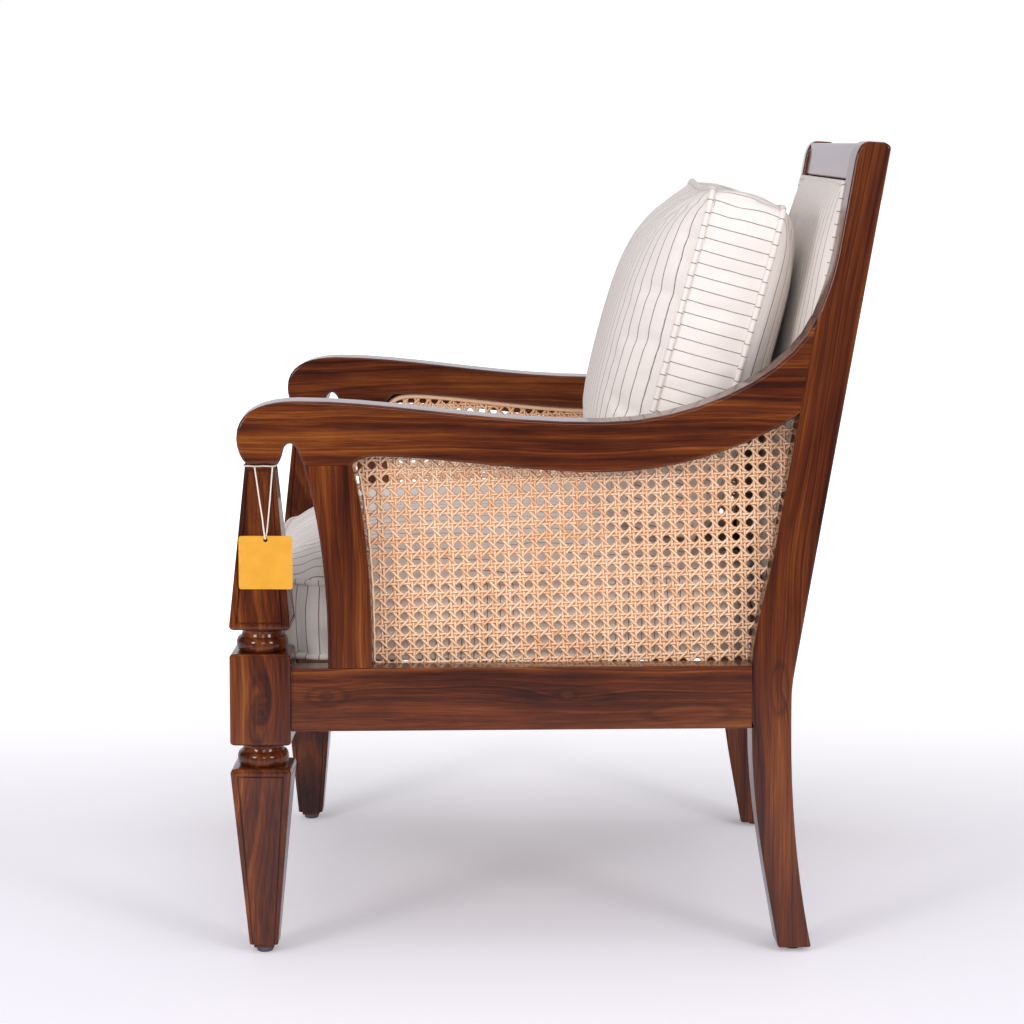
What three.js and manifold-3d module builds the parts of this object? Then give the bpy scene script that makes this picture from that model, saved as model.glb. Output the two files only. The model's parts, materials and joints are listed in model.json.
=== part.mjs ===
// A colonial armchair with cane sides, a fixed upholstered back and two loose cushions.
// Millimetres, +Z up. The chair faces -X and the sitter's left is at -Y.
// The origin is on the floor, at the middle of the chair's footprint.

import * as THREE from 'three';
import { mergeVertices } from 'three/addons/utils/BufferGeometryUtils.js';
import Module from 'manifold-3d';

const wasm = await Module();
wasm.setup();

// Overall sizes
const frontWidth = 700; // over the outer faces of the front legs
const overallHeight = 927;
const sideLength = 558; // front leg's centre line to the rear leg, along the side rail
const sideSetback = 4.3; // arm and side rail behind the front leg's outer face
const splayDegrees = 2.7; // each side turns in towards the back
const rakeDegrees = 9.8; // lean of the back from upright

// Fits and cuts
const fitGap = 0.3; // between faces that touch
const overrun = 6; // a cutter passes the face that it cuts by this much

// Seat rails and their tenons
const railTop = 334;
const railHeight = 72.5;
const railThickness = 34;
const crossRailThickness = 28;
const frontRailSetback = 5;
const rearRailSetback = 9;
const tenonThickness = 12;
const tenonLength = 22;
const tenonShoulder = 11;
const sideTenonLength = 26;

// Front legs
const legSquare = 69;
const arris = 2.2; // chamfer on the long edges
const blockAbove = 17; // the square block rises above the rails and drops below them
const blockBelow = 15.5;
const turnedHeight = 27; // each turned stretch between the square parts
const beadRadius = 29.3;
const beadHeight = 17;
const neckRadius = 24.5;
const shoulderRadius = 5; // round where a tapered part meets a turned stretch
const footSquare = 32.5;
const postTopSquare = 33;
const fieldMargin = 7.5; // frame round each fielded panel
const fieldGroove = 2;
const fieldDepth = 1.6;
const postTenonRadius = 9;
const postTenonLength = 24;
const glideRadius = 9.5;
const glideHeight = 6;
const glidePinRadius = 1.6;
const glidePinLength = 14;

// Rear legs, which run up as the stiles of the back
const legThickness = 48;
const kneeDepth = 45.5;
const footDepth = 38.2;
const footKick = 32.5; // the foot sweeps back behind the knee
const stileSetback = 42; // front of the stile behind the knee, at the arm seat
const stileDepth = 48.2; // below the arm joint, measured level
const stileTopDepth = 38;
const kneeTurn = 17;
const hornRise = 78; // the stile runs forward into the arm over this height above the arm joint
const legBendRise = 136; // the leg's front leaves the rail upright and reaches its lean this far above it
const crownRun = 17;
const crownDrop = 26;
const crownFall = 4.5;
const padRadius = 9.7;
const padHeight = 5;

// Arms, measured from the seat that the front post gives them
const armSeat = 567;
const armThickness = 52;
const noseReach = 24.7;
const noseMiddleRise = 29;
const crestRise = 70.3;
const crestRun = 43.6;
const waistRun = 388;
const waistTopRise = 45.5;
const waistUnderDrop = 11.8;
const jointUnderRise = 53.5;
const jointTopRise = 162;
const notchStart = 23.5;
const notchWidth = 27.5;
const notchHeight = 22.3;
const hollowRun = 133;
const hollowRise = 7.2;

// Arm stumps
const stumpSeatDrop = 2.2;
const stumpFoot = 76.5; // front of the stump behind the leg's centre line, on the rail
const stumpFootWidth = 49.8;
const stumpTopWidth = 54;

// Cane panels and the reed that holds them
const caneThickness = 2;
const caneOverArm = 14;
const caneOverStump = 10;
const caneOverRail = 11;
const caneOverStile = 8;
const caneCorner = 36;
const caneSmallCorner = 9;
const canePitch = 38;
const caneHole = 11.2; // radius
const caneMargin = 2.5;
const splineWidth = 6.5;
const splineHeight = 4;

// Back frame
const crestHeight = 41;
const crestDrop = 2.5;
const backFrameDepth = 31;
const backFrameSetback = 3;
const lowerRailRise = 25; // of the lower back rail above the seat rails
const lowerRailHeight = 46;
const backBoardThickness = 8;
const backCoverThickness = 4;
const backPadCrown = 28;
const padCorner = 4;
const softGap = 1.2;

// Seat deck and corner blocks
const slatCount = 8;
const slatWidth = 46;
const slatThickness = 18;
const cleatWidth = 20;
const cleatHeight = 24;
const slatEndGap = 8.6; // slat ends stop short of the rail, clear of the cane's reed
const blockHeight = 25;
const blockReach = 64;
const screwRadius = 2;
const screwLength = 46;
const screwHeadRadius = 4.2;
const screwHeadHeight = 2.6;
const screwInset = 20;

// Seat cushion
const seatBorder = 88;
const seatCrown = 70;
const seatBelly = 1;
const seatSideClearance = 2.5;
const seatFrontSetback = 10;
const seatNotchGap = 5;
const seatBackGap = 26;
const seatCorner = 18;
const seatPull = 4;

// Back cushion
const backSideClearance = 14; // to the arms, at each side
const backHeight = 402;
const backBorder = 86;
const backFrontCrown = 80;
const backRearCrown = 45;
const backLeanDegrees = 15.2;
const backCorner = 16;
const backPull = 7;
const cushionGap = 0.4; // between the two cushions, and to the pad
const sewnStep = 46; // spacing of points along a cushion's sides

// Hang tag and its string
const tagSize = 60.5;
const tagThickness = 0.8;
const tagHoleRadius = 2.4;
const tagHoleDrop = 4.6;
const tagShift = 7.6;
const tagTop = 485.7;
const tagStandOff = 1.6; // at its lower edge
const stringRadius = 1;
const stringLoopDrop = 4; // the turn round the post below the arm
const stringTurnRadius = 4;

const splay = THREE.MathUtils.degToRad(splayDegrees);
const rake = Math.tan(THREE.MathUtils.degToRad(rakeDegrees));
const legY = (frontWidth - legSquare) / 2;
const sideY = frontWidth / 2 - sideSetback;
const railBase = railTop - railHeight;
const blockTop = railTop + blockAbove;
const blockBase = railBase - blockBelow;

// Finishes

const wood = new THREE.MeshStandardMaterial({ color: 0x6e3a1c, roughness: 0.3 });
const plainWood = new THREE.MeshStandardMaterial({ color: 0x9a6a40, roughness: 0.6 });
const cane = new THREE.MeshStandardMaterial({ color: 0xe6b991, roughness: 0.55 });
const fabric = new THREE.MeshStandardMaterial({ color: 0xebe4dc, roughness: 0.9 });
const steel = new THREE.MeshStandardMaterial({ color: 0x8a8a8c, roughness: 0.35, metalness: 1 });
const rubber = new THREE.MeshStandardMaterial({ color: 0x1c1a19, roughness: 0.7 });
const card = new THREE.MeshStandardMaterial({ color: 0xf6bb33, roughness: 0.6 });
const cotton = new THREE.MeshStandardMaterial({ color: 0xf2ece2, roughness: 0.9 });

// Solids: closed geometries in, closed geometries out

function solidFrom(geometry) {
  const bare = geometry.index ? geometry.toNonIndexed() : geometry.clone();
  bare.deleteAttribute('normal');
  bare.deleteAttribute('uv');
  const merged = mergeVertices(bare);
  return new wasm.Manifold(new wasm.Mesh({
    numProp: 3,
    vertProperties: new Float32Array(merged.attributes.position.array),
    triVerts: new Uint32Array(merged.index.array),
  }));
}

function geometryFrom(solid) {
  const mesh = solid.getMesh();
  const geometry = new THREE.BufferGeometry();
  geometry.setAttribute('position', new THREE.BufferAttribute(mesh.vertProperties, 3));
  geometry.setIndex(new THREE.BufferAttribute(mesh.triVerts, 1));
  const flat = geometry.toNonIndexed();
  flat.computeVertexNormals();
  return flat;
}

function join(parts) {
  return geometryFrom(parts.map(solidFrom).reduce((whole, part) => whole.add(part)));
}

function cut(body, cutters) {
  return geometryFrom(cutters.map(solidFrom).reduce((left, cutter) => left.subtract(cutter), solidFrom(body)));
}

function trim(body, keep) {
  return geometryFrom(solidFrom(body).intersect(solidFrom(keep)));
}

// The same solid on the other side of the chair.
function mirrored(geometry) {
  const copy = geometry.index ? geometry.toNonIndexed() : geometry.clone();
  copy.scale(1, -1, 1);
  const places = copy.attributes.position;
  const turned = new Float32Array(places.array.length);
  for (let corner = 0; corner < places.count; corner += 3) {
    [0, 2, 1].forEach((from, to) => {
      turned.set([places.getX(corner + from), places.getY(corner + from), places.getZ(corner + from)],
        (corner + to) * 3);
    });
  }
  const result = new THREE.BufferGeometry();
  result.setAttribute('position', new THREE.BufferAttribute(turned, 3));
  result.computeVertexNormals();
  return result;
}

function moved(geometry, matrix) {
  return geometry.clone().applyMatrix4(matrix);
}

// A board: an outline in the upright plane (x, z) carried from y = near to y = far.
function board(outline, near, far, steps = 9) {
  const run = { depth: far - near, bevelEnabled: false, curveSegments: steps };
  const geometry = new THREE.ExtrudeGeometry(outline, run);
  geometry.rotateX(Math.PI / 2);
  return geometry.translate(0, far, 0);
}

// A plate: an outline in plan (x, y) carried up from z = base.
function plate(outline, base, height) {
  const geometry = new THREE.ExtrudeGeometry(outline, { depth: height, bevelEnabled: false });
  return geometry.translate(0, 0, base);
}

function rectangle(left, low, right, high) {
  return new THREE.Shape([
    new THREE.Vector2(left, low),
    new THREE.Vector2(right, low),
    new THREE.Vector2(right, high),
    new THREE.Vector2(left, high),
  ]);
}

function block(low, high) {
  return board(rectangle(low.x, low.z, high.x, high.z), low.y, high.y);
}

// A skin through rings of points, closed by a cap at each end, or round on itself.
function loft(rings, endless = false) {
  const around = rings[0].length;
  const points = rings.flat();
  const faces = [];
  const last = endless ? rings.length : rings.length - 1;
  for (let ring = 0; ring < last; ring += 1) {
    const next = (ring + 1) % rings.length;
    for (let step = 0; step < around; step += 1) {
      const a = ring * around + step;
      const b = ring * around + (step + 1) % around;
      const c = next * around + (step + 1) % around;
      const d = next * around + step;
      faces.push(a, b, c, a, c, d);
    }
  }
  if (!endless) {
    [rings[0], rings.at(-1)].forEach((ring, end) => {
      const middle = new THREE.Vector3();
      ring.forEach((point) => middle.addScaledVector(point, 1 / around));
      points.push(middle);
      const base = end * (rings.length - 1) * around;
      for (let step = 0; step < around; step += 1) {
        const here = base + step;
        const following = base + (step + 1) % around;
        faces.push(points.length - 1, end ? here : following, end ? following : here);
      }
    });
  }
  const geometry = new THREE.BufferGeometry().setFromPoints(points);
  geometry.setIndex(faces);
  const flat = geometry.toNonIndexed();
  flat.computeVertexNormals();
  return flat;
}

// Moves each point of a closed ring outwards, square to the ring. The ring runs anticlockwise.
function grown(ring, distance) {
  return ring.map((point, index) => {
    const before = ring[(index + ring.length - 1) % ring.length];
    const after = ring[(index + 1) % ring.length];
    const along = after.clone().sub(before).normalize();
    return new THREE.Vector2(point.x + along.y * distance, point.y - along.x * distance);
  });
}

function insideRing(point, ring) {
  let inside = false;
  ring.forEach((corner, index) => {
    const other = ring[(index + 1) % ring.length];
    if ((corner.y > point.y) !== (other.y > point.y)) {
      const crossing = corner.x + (point.y - corner.y) / (other.y - corner.y) * (other.x - corner.x);
      if (point.x < crossing) inside = !inside;
    }
  });
  return inside;
}

// Frames of the two sides. In a side's own frame x runs back from the front leg's centre line,
// y runs inwards from the outer face, and z is up. Sides are modelled for the left and mirrored.

const leftFrame = new THREE.Matrix4().makeRotationZ(splay).setPosition(0, -sideY, 0);
const intoLeftFrame = leftFrame.clone().invert();

function place(x, y, z) {
  return new THREE.Vector3(x, y, z);
}

// Where a point of the left side's frame lies in plan in the chair's frame.
function planPoint(x, y) {
  const point = place(x, y, 0).applyMatrix4(leftFrame);
  return new THREE.Vector2(point.x, point.y);
}

// Chair x of a point on the inner face of a stile, and how far from the middle that face is at a chair x.
function acrossX(x, inward = legThickness) {
  return x * Math.cos(splay) - inward * Math.sin(splay);
}

function reachAt(x, inward = legThickness) {
  return sideY - x * Math.tan(splay) - inward / Math.cos(splay);
}

// Lines of the back, level distances along the side at a height

const stileFrontAt = (z) => sideLength + stileSetback + rake * (z - armSeat);
const stileBackAt = (z) => stileFrontAt(z) + stileDepth;
const stileUpperFrontAt = (z) => stileBackAt(z) - stileTopDepth;

// Curves that neighbours share, in the side's frame

function curve(...points) {
  return new THREE.CubicBezierCurve(...points.map(([x, z]) => new THREE.Vector2(x, z)));
}

const stumpSeat = armSeat - stumpSeatDrop;
const stumpTopFront = notchStart + notchWidth;
const stumpTopBack = stumpTopFront + stumpTopWidth;
const stumpFootBack = stumpFoot + stumpFootWidth;
const stumpRise = stumpSeat - railTop;
const stumpLean = stumpFoot - stumpTopFront;
const stumpBackLean = stumpFootBack - stumpTopBack;

const stumpFrontCurve = curve(
  [stumpFoot, railTop],
  [stumpFoot + 0.06 * stumpLean, railTop + 0.45 * stumpRise],
  [stumpTopFront + 0.59 * stumpLean, railTop + 0.75 * stumpRise],
  [stumpTopFront, stumpSeat],
);
const stumpBackCurve = curve(
  [stumpFootBack, railTop],
  [stumpFootBack + 0.03 * stumpBackLean, railTop + 0.45 * stumpRise],
  [stumpTopBack + 0.66 * stumpBackLean, railTop + 0.75 * stumpRise],
  [stumpTopBack, stumpSeat],
);

const jointUnder = armSeat + jointUnderRise;
const jointTop = armSeat + jointTopRise;
const waistUnder = armSeat - waistUnderDrop;
const hollowTop = armSeat + hollowRise;
const jointUnderRun = stileFrontAt(jointUnder);

const hollowCurve = curve(
  [stumpTopBack, stumpSeat],
  [stumpTopBack + 0.18 * (hollowRun - stumpTopBack), stumpSeat + 0.65 * (hollowTop - stumpSeat)],
  [stumpTopBack + 0.5 * (hollowRun - stumpTopBack), hollowTop],
  [hollowRun, hollowTop],
);
const underCurve = curve(
  [hollowRun, hollowTop],
  [hollowRun + 0.26 * (waistRun - hollowRun), hollowTop],
  [hollowRun + 0.66 * (waistRun - hollowRun), waistUnder],
  [waistRun, waistUnder],
);
const underEndCurve = curve(
  [waistRun, waistUnder],
  [waistRun + 0.38 * (jointUnderRun - waistRun), waistUnder],
  [waistRun + 0.76 * (jointUnderRun - waistRun), waistUnder + 0.45 * (jointUnder - waistUnder)],
  [jointUnderRun, jointUnder],
);

const legBendTop = railTop + legBendRise;
const legFrontCurve = curve(
  [sideLength, railTop],
  [sideLength, railTop + 0.28 * legBendRise],
  [stileFrontAt(railTop + 0.68 * legBendRise), railTop + 0.68 * legBendRise],
  [stileFrontAt(legBendTop), legBendTop],
);

function along(shape, line, shiftX = 0, shiftZ = 0) {
  const [, second, third, end] = [line.v0, line.v1, line.v2, line.v3];
  shape.bezierCurveTo(
    second.x + shiftX, second.y + shiftZ,
    third.x + shiftX, third.y + shiftZ,
    end.x + shiftX, end.y + shiftZ,
  );
}

function backAlong(shape, line, shiftX = 0, shiftZ = 0) {
  shape.bezierCurveTo(
    line.v2.x + shiftX, line.v2.y + shiftZ,
    line.v1.x + shiftX, line.v1.y + shiftZ,
    line.v0.x + shiftX, line.v0.y + shiftZ,
  );
}

// Cane panel outline, which laps the arm, the stump, the rail and the stile on their inner faces

function caneRing(count = 66) {
  const low = railTop - caneOverRail;
  const front = -caneOverStump;
  const top = caneOverArm;
  const lowFront = stumpFootBack + front;
  const lowBack = sideLength + caneOverStile;
  const highBack = jointUnderRun + caneOverStile;
  const path = new THREE.Path();
  path.moveTo(lowFront + caneSmallCorner, low);
  path.lineTo(lowBack - caneSmallCorner, low);
  path.quadraticCurveTo(lowBack, low, lowBack, low + caneSmallCorner);
  path.lineTo(lowBack, railTop);
  along(path, legFrontCurve, caneOverStile);
  path.lineTo(highBack - caneSmallCorner * rake, jointUnder - caneSmallCorner);
  path.quadraticCurveTo(highBack, jointUnder + top / 2, highBack - caneSmallCorner, jointUnder + top / 2);
  backAlong(path, underEndCurve, 0, top);
  backAlong(path, underCurve, 0, top);
  path.lineTo(stumpTopBack + front + caneCorner, hollowTop + top);
  path.quadraticCurveTo(
    stumpTopBack + front,
    hollowTop + top,
    stumpBackCurve.getPoint(0.86).x + front,
    stumpBackCurve.getPoint(0.86).y,
  );
  const frontEdge = [0.7, 0.55, 0.4, 0.25, 0.1].map((share) => stumpBackCurve.getPoint(share));
  frontEdge.forEach((point) => path.lineTo(point.x + front, point.y));
  path.lineTo(lowFront, low + caneSmallCorner);
  path.quadraticCurveTo(lowFront, low, lowFront + caneSmallCorner, low);
  return path.getSpacedPoints(count).slice(0, -1);
}

function shapeOf(ring) {
  return new THREE.Shape(ring);
}

const canePlane = railThickness + fitGap;
const splinePlane = canePlane + caneThickness + fitGap;

function caneRecess() {
  return board(shapeOf(grown(caneRing(), 2 * fitGap)), railThickness, armThickness + overrun);
}

// An openwork sheet: eight-sided holes on a square grid wherever one fits inside the reed.
function canePanel() {
  const ring = caneRing();
  const sheet = shapeOf(ring);
  const edge = grown(ring, -(splineWidth + caneMargin));
  const sides = 8;
  const xs = ring.map((point) => point.x);
  const zs = ring.map((point) => point.y);
  for (let x = Math.min(...xs) + canePitch / 2; x < Math.max(...xs); x += canePitch) {
    for (let z = Math.min(...zs) + canePitch / 2; z < Math.max(...zs); z += canePitch) {
      const hole = Array.from({ length: sides }, (_, side) => {
        const angle = (side + 1 / 2) * 2 * Math.PI / sides;
        return new THREE.Vector2(x + caneHole * Math.cos(angle), z + caneHole * Math.sin(angle));
      });
      if (hole.every((corner) => insideRing(corner, edge))) sheet.holes.push(new THREE.Path(hole.reverse()));
    }
  }
  return board(sheet, canePlane, canePlane + caneThickness);
}

// Half-round reed along the panel's edge, flat on the cane.
function caneSpline() {
  const route = grown(caneRing(), -(splineWidth / 2 + fitGap));
  const bows = 5;
  const rings = route.map((point, index) => {
    const before = route[(index + route.length - 1) % route.length];
    const after = route[(index + 1) % route.length];
    const run = after.clone().sub(before).normalize();
    return Array.from({ length: bows + 1 }, (_, step) => {
      const angle = step * Math.PI / bows;
      const out = splineWidth / 2 * Math.cos(angle);
      const rise = splineHeight * Math.sin(angle);
      return place(point.x + run.y * out, splinePlane + rise, point.y - run.x * out);
    });
  });
  return loft(rings, true);
}

// Arms and stumps

function armBody() {
  const notchTop = armSeat + notchHeight;
  const notchMiddle = notchStart + 0.44 * notchWidth;
  const noseMiddle = armSeat + noseMiddleRise;
  const crest = armSeat + crestRise;
  const waistTop = armSeat + waistTopRise;
  const seatFront = -(postTopSquare / 2 - arris);
  const sweep = jointTop - waistTop;
  const endRun = stileFrontAt(jointTop) - fitGap;
  const shape = new THREE.Shape();
  shape.moveTo(seatFront, armSeat);
  shape.lineTo(notchStart, armSeat);
  shape.bezierCurveTo(
    notchStart + 0.1 * notchWidth, armSeat + 0.6 * notchHeight,
    notchStart + 0.2 * notchWidth, notchTop,
    notchMiddle, notchTop,
  );
  shape.bezierCurveTo(
    notchStart + 0.67 * notchWidth, notchTop,
    notchStart + 0.8 * notchWidth, armSeat + 0.5 * notchHeight,
    stumpTopFront, stumpSeat,
  );
  shape.lineTo(stumpTopBack, stumpSeat);
  along(shape, hollowCurve);
  along(shape, underCurve);
  shape.bezierCurveTo(
    underEndCurve.v1.x, underEndCurve.v1.y,
    underEndCurve.v2.x, underEndCurve.v2.y,
    jointUnderRun - fitGap, jointUnder,
  );
  shape.lineTo(endRun, jointTop);
  shape.bezierCurveTo(
    waistRun + 0.9 * (endRun - waistRun), jointTop - 0.5 * sweep,
    waistRun + 0.465 * (endRun - waistRun), waistTop,
    waistRun, waistTop,
  );
  shape.bezierCurveTo(
    crestRun + 0.6 * (waistRun - crestRun), waistTop,
    crestRun + 0.3 * (waistRun - crestRun), crest,
    crestRun, crest,
  );
  shape.bezierCurveTo(
    crestRun - 0.56 * (crestRun + noseReach), crest,
    -noseReach, noseMiddle + 0.75 * (crest - noseMiddle),
    -noseReach, noseMiddle,
  );
  shape.bezierCurveTo(
    -noseReach, armSeat + 0.55 * noseMiddleRise,
    -0.8 * noseReach, armSeat + 0.2 * noseMiddleRise,
    seatFront, armSeat,
  );
  return board(shape, 0, armThickness);
}

function postTenon(clearance) {
  const middle = (frontWidth / 2 - sideSetback) - legY;
  const geometry = new THREE.CylinderGeometry(
    postTenonRadius + clearance,
    postTenonRadius + clearance,
    postTenonLength + overrun + clearance,
    12,
  );
  geometry.rotateX(Math.PI / 2);
  return geometry.translate(0, middle, armSeat + (postTenonLength - overrun + clearance) / 2);
}

// Upright tongue through both ends of the stump.
function stumpTenon(clearance) {
  const middle = railThickness / 2;
  const half = tenonThickness / 2 + clearance;
  const top = block(
    place(stumpTopFront + tenonShoulder - clearance, middle - half, stumpSeat - overrun),
    place(stumpTopBack - tenonShoulder + clearance, middle + half, stumpSeat + tenonLength + clearance),
  );
  const foot = block(
    place(stumpFoot + tenonShoulder - clearance, middle - half, railTop - tenonLength - clearance),
    place(stumpFootBack - tenonShoulder + clearance, middle + half, railTop + overrun),
  );
  return [top, foot];
}

function arm() {
  return cut(armBody(), [caneRecess(), postTenon(fitGap), stumpTenon(fitGap)[0]]);
}

function armStump() {
  const shape = new THREE.Shape();
  const first = stumpFrontCurve.getPoint(0);
  shape.moveTo(first.x, first.y);
  shape.lineTo(stumpFootBack, railTop);
  along(shape, stumpBackCurve);
  shape.lineTo(stumpTopFront, stumpSeat);
  backAlong(shape, stumpFrontCurve);
  const body = trim(
    board(shape, 0, railThickness),
    block(
      place(0, -overrun, railTop + fitGap),
      place(sideLength, railThickness + overrun, stumpSeat - fitGap),
    ),
  );
  return join([body, ...stumpTenon(0)]);
}

// Side rail, with a tongue at each end

const railFront = legSquare / 2 + fitGap;

function sideTenons(clearance) {
  const middle = railThickness / 2;
  const half = tenonThickness / 2 + clearance;
  const low = railBase + tenonShoulder - clearance;
  const high = railTop - tenonLength - 2 * tenonShoulder + clearance;
  const front = block(
    place(railFront - sideTenonLength - clearance, middle - half, low),
    place(railFront + overrun, middle + half, high),
  );
  const back = block(
    place(sideLength - overrun, middle - half, low),
    place(sideLength + sideTenonLength + clearance, middle + half, high),
  );
  return [front, back];
}

// Rear leg and stile in one timber

function rearLegBody() {
  const heel = sideLength + footKick;
  const knee = sideLength + kneeDepth;
  const kneeMeets = armSeat + (knee - sideLength - stileSetback - stileDepth) / rake;
  const hornTop = jointTop + hornRise;
  const crownBase = overallHeight - crownDrop;
  const topFront = stileUpperFrontAt(crownBase) + crownRun;
  const shape = new THREE.Shape();
  shape.moveTo(heel, padHeight);
  shape.lineTo(heel + footDepth, padHeight);
  shape.bezierCurveTo(
    knee + 0.42 * (heel + footDepth - knee), 0.28 * railBase,
    knee, 0.63 * railBase,
    knee, railBase,
  );
  shape.lineTo(knee, kneeMeets - kneeTurn);
  shape.quadraticCurveTo(knee, kneeMeets, stileBackAt(kneeMeets + kneeTurn), kneeMeets + kneeTurn);
  shape.lineTo(stileBackAt(overallHeight - 2 * crownFall), overallHeight - 2 * crownFall);
  shape.quadraticCurveTo(
    stileBackAt(overallHeight - crownFall), overallHeight - crownFall,
    stileBackAt(overallHeight) - 2 * crownFall, overallHeight - crownFall / 4,
  );
  shape.lineTo(topFront, overallHeight);
  shape.bezierCurveTo(
    topFront - 0.6 * crownRun, overallHeight,
    stileUpperFrontAt(overallHeight - 0.5 * crownDrop), overallHeight - 0.4 * crownDrop,
    stileUpperFrontAt(crownBase), crownBase,
  );
  shape.lineTo(stileUpperFrontAt(hornTop), hornTop);
  shape.bezierCurveTo(
    stileUpperFrontAt(hornTop - 0.35 * hornRise), hornTop - 0.35 * hornRise,
    stileFrontAt(jointTop) + 0.14 * hornRise, jointTop + 0.35 * hornRise,
    stileFrontAt(jointTop), jointTop,
  );
  shape.lineTo(stileFrontAt(legBendTop), legBendTop);
  backAlong(shape, legFrontCurve);
  shape.lineTo(sideLength, railBase);
  shape.bezierCurveTo(
    sideLength, 0.63 * railBase,
    sideLength + 0.65 * footKick, 0.27 * railBase,
    heel, padHeight,
  );
  return board(shape, 0, legThickness);
}

// Bars between the stiles. Their outlines lean with the back: offsets run forward from the stile's back.

function leaningShape(low, high, backOffset, frontOffset) {
  const at = (z, offset) => new THREE.Vector2(acrossX(stileBackAt(z) - offset), z);
  return new THREE.Shape([
    at(low, frontOffset),
    at(low, backOffset),
    at(high, backOffset),
    at(high, frontOffset),
  ]);
}

// Everything outside the inner faces of the two stiles, with a gap.
function outsideStiles(gap) {
  const left = moved(block(
    place(-sideLength, -frontWidth, -overrun),
    place(2 * sideLength, legThickness + gap, overallHeight + overrun),
  ), leftFrame);
  return [left, mirrored(left)];
}

function barBetweenStiles(shape, gap = fitGap) {
  return cut(board(shape, -frontWidth / 2, frontWidth / 2), outsideStiles(gap));
}

function tongue(shape, middleX, clearance) {
  const half = reachAt(middleX) + tenonLength + clearance;
  return board(shape, -half, half);
}

const crestTop = overallHeight - crestDrop;
const crestBase = crestTop - crestHeight;
const backFront = backFrameSetback + backFrameDepth;
const lowerRailBase = railTop + lowerRailRise;
const lowerRailTop = lowerRailBase + lowerRailHeight;
const tongueInset = (backFrameDepth - tenonThickness) / 2;

function leaningTongue(low, high, clearance) {
  const shape = leaningShape(
    low + tenonShoulder - clearance,
    high - tenonShoulder + clearance,
    backFrameSetback + tongueInset - clearance,
    backFront - tongueInset + clearance,
  );
  return tongue(shape, acrossX(stileBackAt((low + high) / 2) - backFront / 2), clearance);
}

const crestTongue = (clearance) => leaningTongue(crestBase, crestTop, clearance);
const lowerTongue = (clearance) => leaningTongue(lowerRailBase, lowerRailTop, clearance);

const rearRailFront = acrossX(sideLength + rearRailSetback);

function rearRailTongue(clearance) {
  const inset = (crossRailThickness - tenonThickness) / 2;
  const shape = rectangle(
    rearRailFront + inset - clearance,
    railBase + tenonShoulder - clearance,
    rearRailFront + crossRailThickness - inset + clearance,
    railTop - tenonShoulder + clearance,
  );
  return tongue(shape, rearRailFront + crossRailThickness / 2, clearance);
}

function rearLeg() {
  const hidden = [crestTongue(fitGap), lowerTongue(fitGap), rearRailTongue(fitGap)];
  return cut(rearLegBody(), [
    caneRecess(),
    sideTenons(fitGap)[1],
    rearFootPin(fitGap),
    ...hidden.map((geometry) => moved(geometry, intoLeftFrame)),
  ]);
}

// Front rail between the leg blocks

const frontRailFace = frontRailSetback - legSquare / 2;
const blockReachIn = legY - legSquare / 2;

function frontRailTongue(clearance) {
  const inset = (crossRailThickness - tenonThickness) / 2;
  const half = blockReachIn + tenonLength + clearance;
  return board(
    rectangle(
      frontRailFace + inset - clearance,
      railBase + tenonShoulder - clearance,
      frontRailFace + crossRailThickness - inset + clearance,
      railTop - tenonShoulder + clearance,
    ),
    -half,
    half,
  );
}

// Front leg: square tapered foot, bead, block, bead and tapered post, all one timber

function squareRing(half, z) {
  const flat = half - arris;
  const corners = [[half, -flat], [half, flat], [flat, half], [-flat, half],
    [-half, flat], [-half, -flat], [-flat, -half], [flat, -half]];
  return corners.map(([x, y]) => place(x, y, z));
}

// A straight taper between two heights, with a quarter round at its wide end.
function taperedSquare(wideHalf, wideZ, narrowHalf, narrowZ) {
  const turns = 4;
  const way = Math.sign(narrowZ - wideZ);
  const rings = Array.from({ length: turns + 1 }, (_, step) => {
    const angle = step / turns * Math.PI / 2;
    const half = wideHalf - shoulderRadius * (1 - Math.sin(angle));
    return squareRing(half, wideZ + way * shoulderRadius * (1 - Math.cos(angle)));
  });
  rings.push(squareRing(narrowHalf, narrowZ));
  return loft(way > 0 ? rings : rings.reverse());
}

// The groove round a fielded panel, on each of the four faces of a taper.
function fieldGrooves(wideHalf, wideZ, narrowHalf, narrowZ) {
  const low = wideZ < narrowZ ? [wideHalf, wideZ] : [narrowHalf, narrowZ];
  const high = wideZ < narrowZ ? [narrowHalf, narrowZ] : [wideHalf, wideZ];
  const rise = high[1] - low[1];
  const slope = (low[0] - high[0]) / rise;
  const length = Math.hypot(rise, low[0] - high[0]);
  const widthAt = (share) => low[0] + (high[0] - low[0]) * share;
  const frame = (inset) => {
    const margin = fieldMargin + inset;
    const share = margin / length;
    const bottom = widthAt(share) - margin * widthAt(share) / wideHalf;
    const top = widthAt(1 - share) - margin * widthAt(1 - share) / wideHalf;
    return [
      new THREE.Vector2(-bottom, margin),
      new THREE.Vector2(bottom, margin),
      new THREE.Vector2(top, length - margin),
      new THREE.Vector2(-top, length - margin),
    ];
  };
  const outline = new THREE.Shape(frame(0));
  outline.holes.push(new THREE.Path(frame(fieldGroove).reverse()));
  const groove = new THREE.ExtrudeGeometry(outline, { depth: fieldDepth + overrun, bevelEnabled: false });
  groove.translate(0, 0, -fieldDepth);
  const up = place(0, slope, 1).normalize();
  const side = place(1, 0, 0);
  const face = new THREE.Matrix4().makeBasis(side, up, side.clone().cross(up));
  face.setPosition(0, -low[0], low[1]);
  groove.applyMatrix4(face);
  return [0, 1, 2, 3].map((quarter) => groove.clone().rotateZ(quarter * Math.PI / 2));
}

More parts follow.
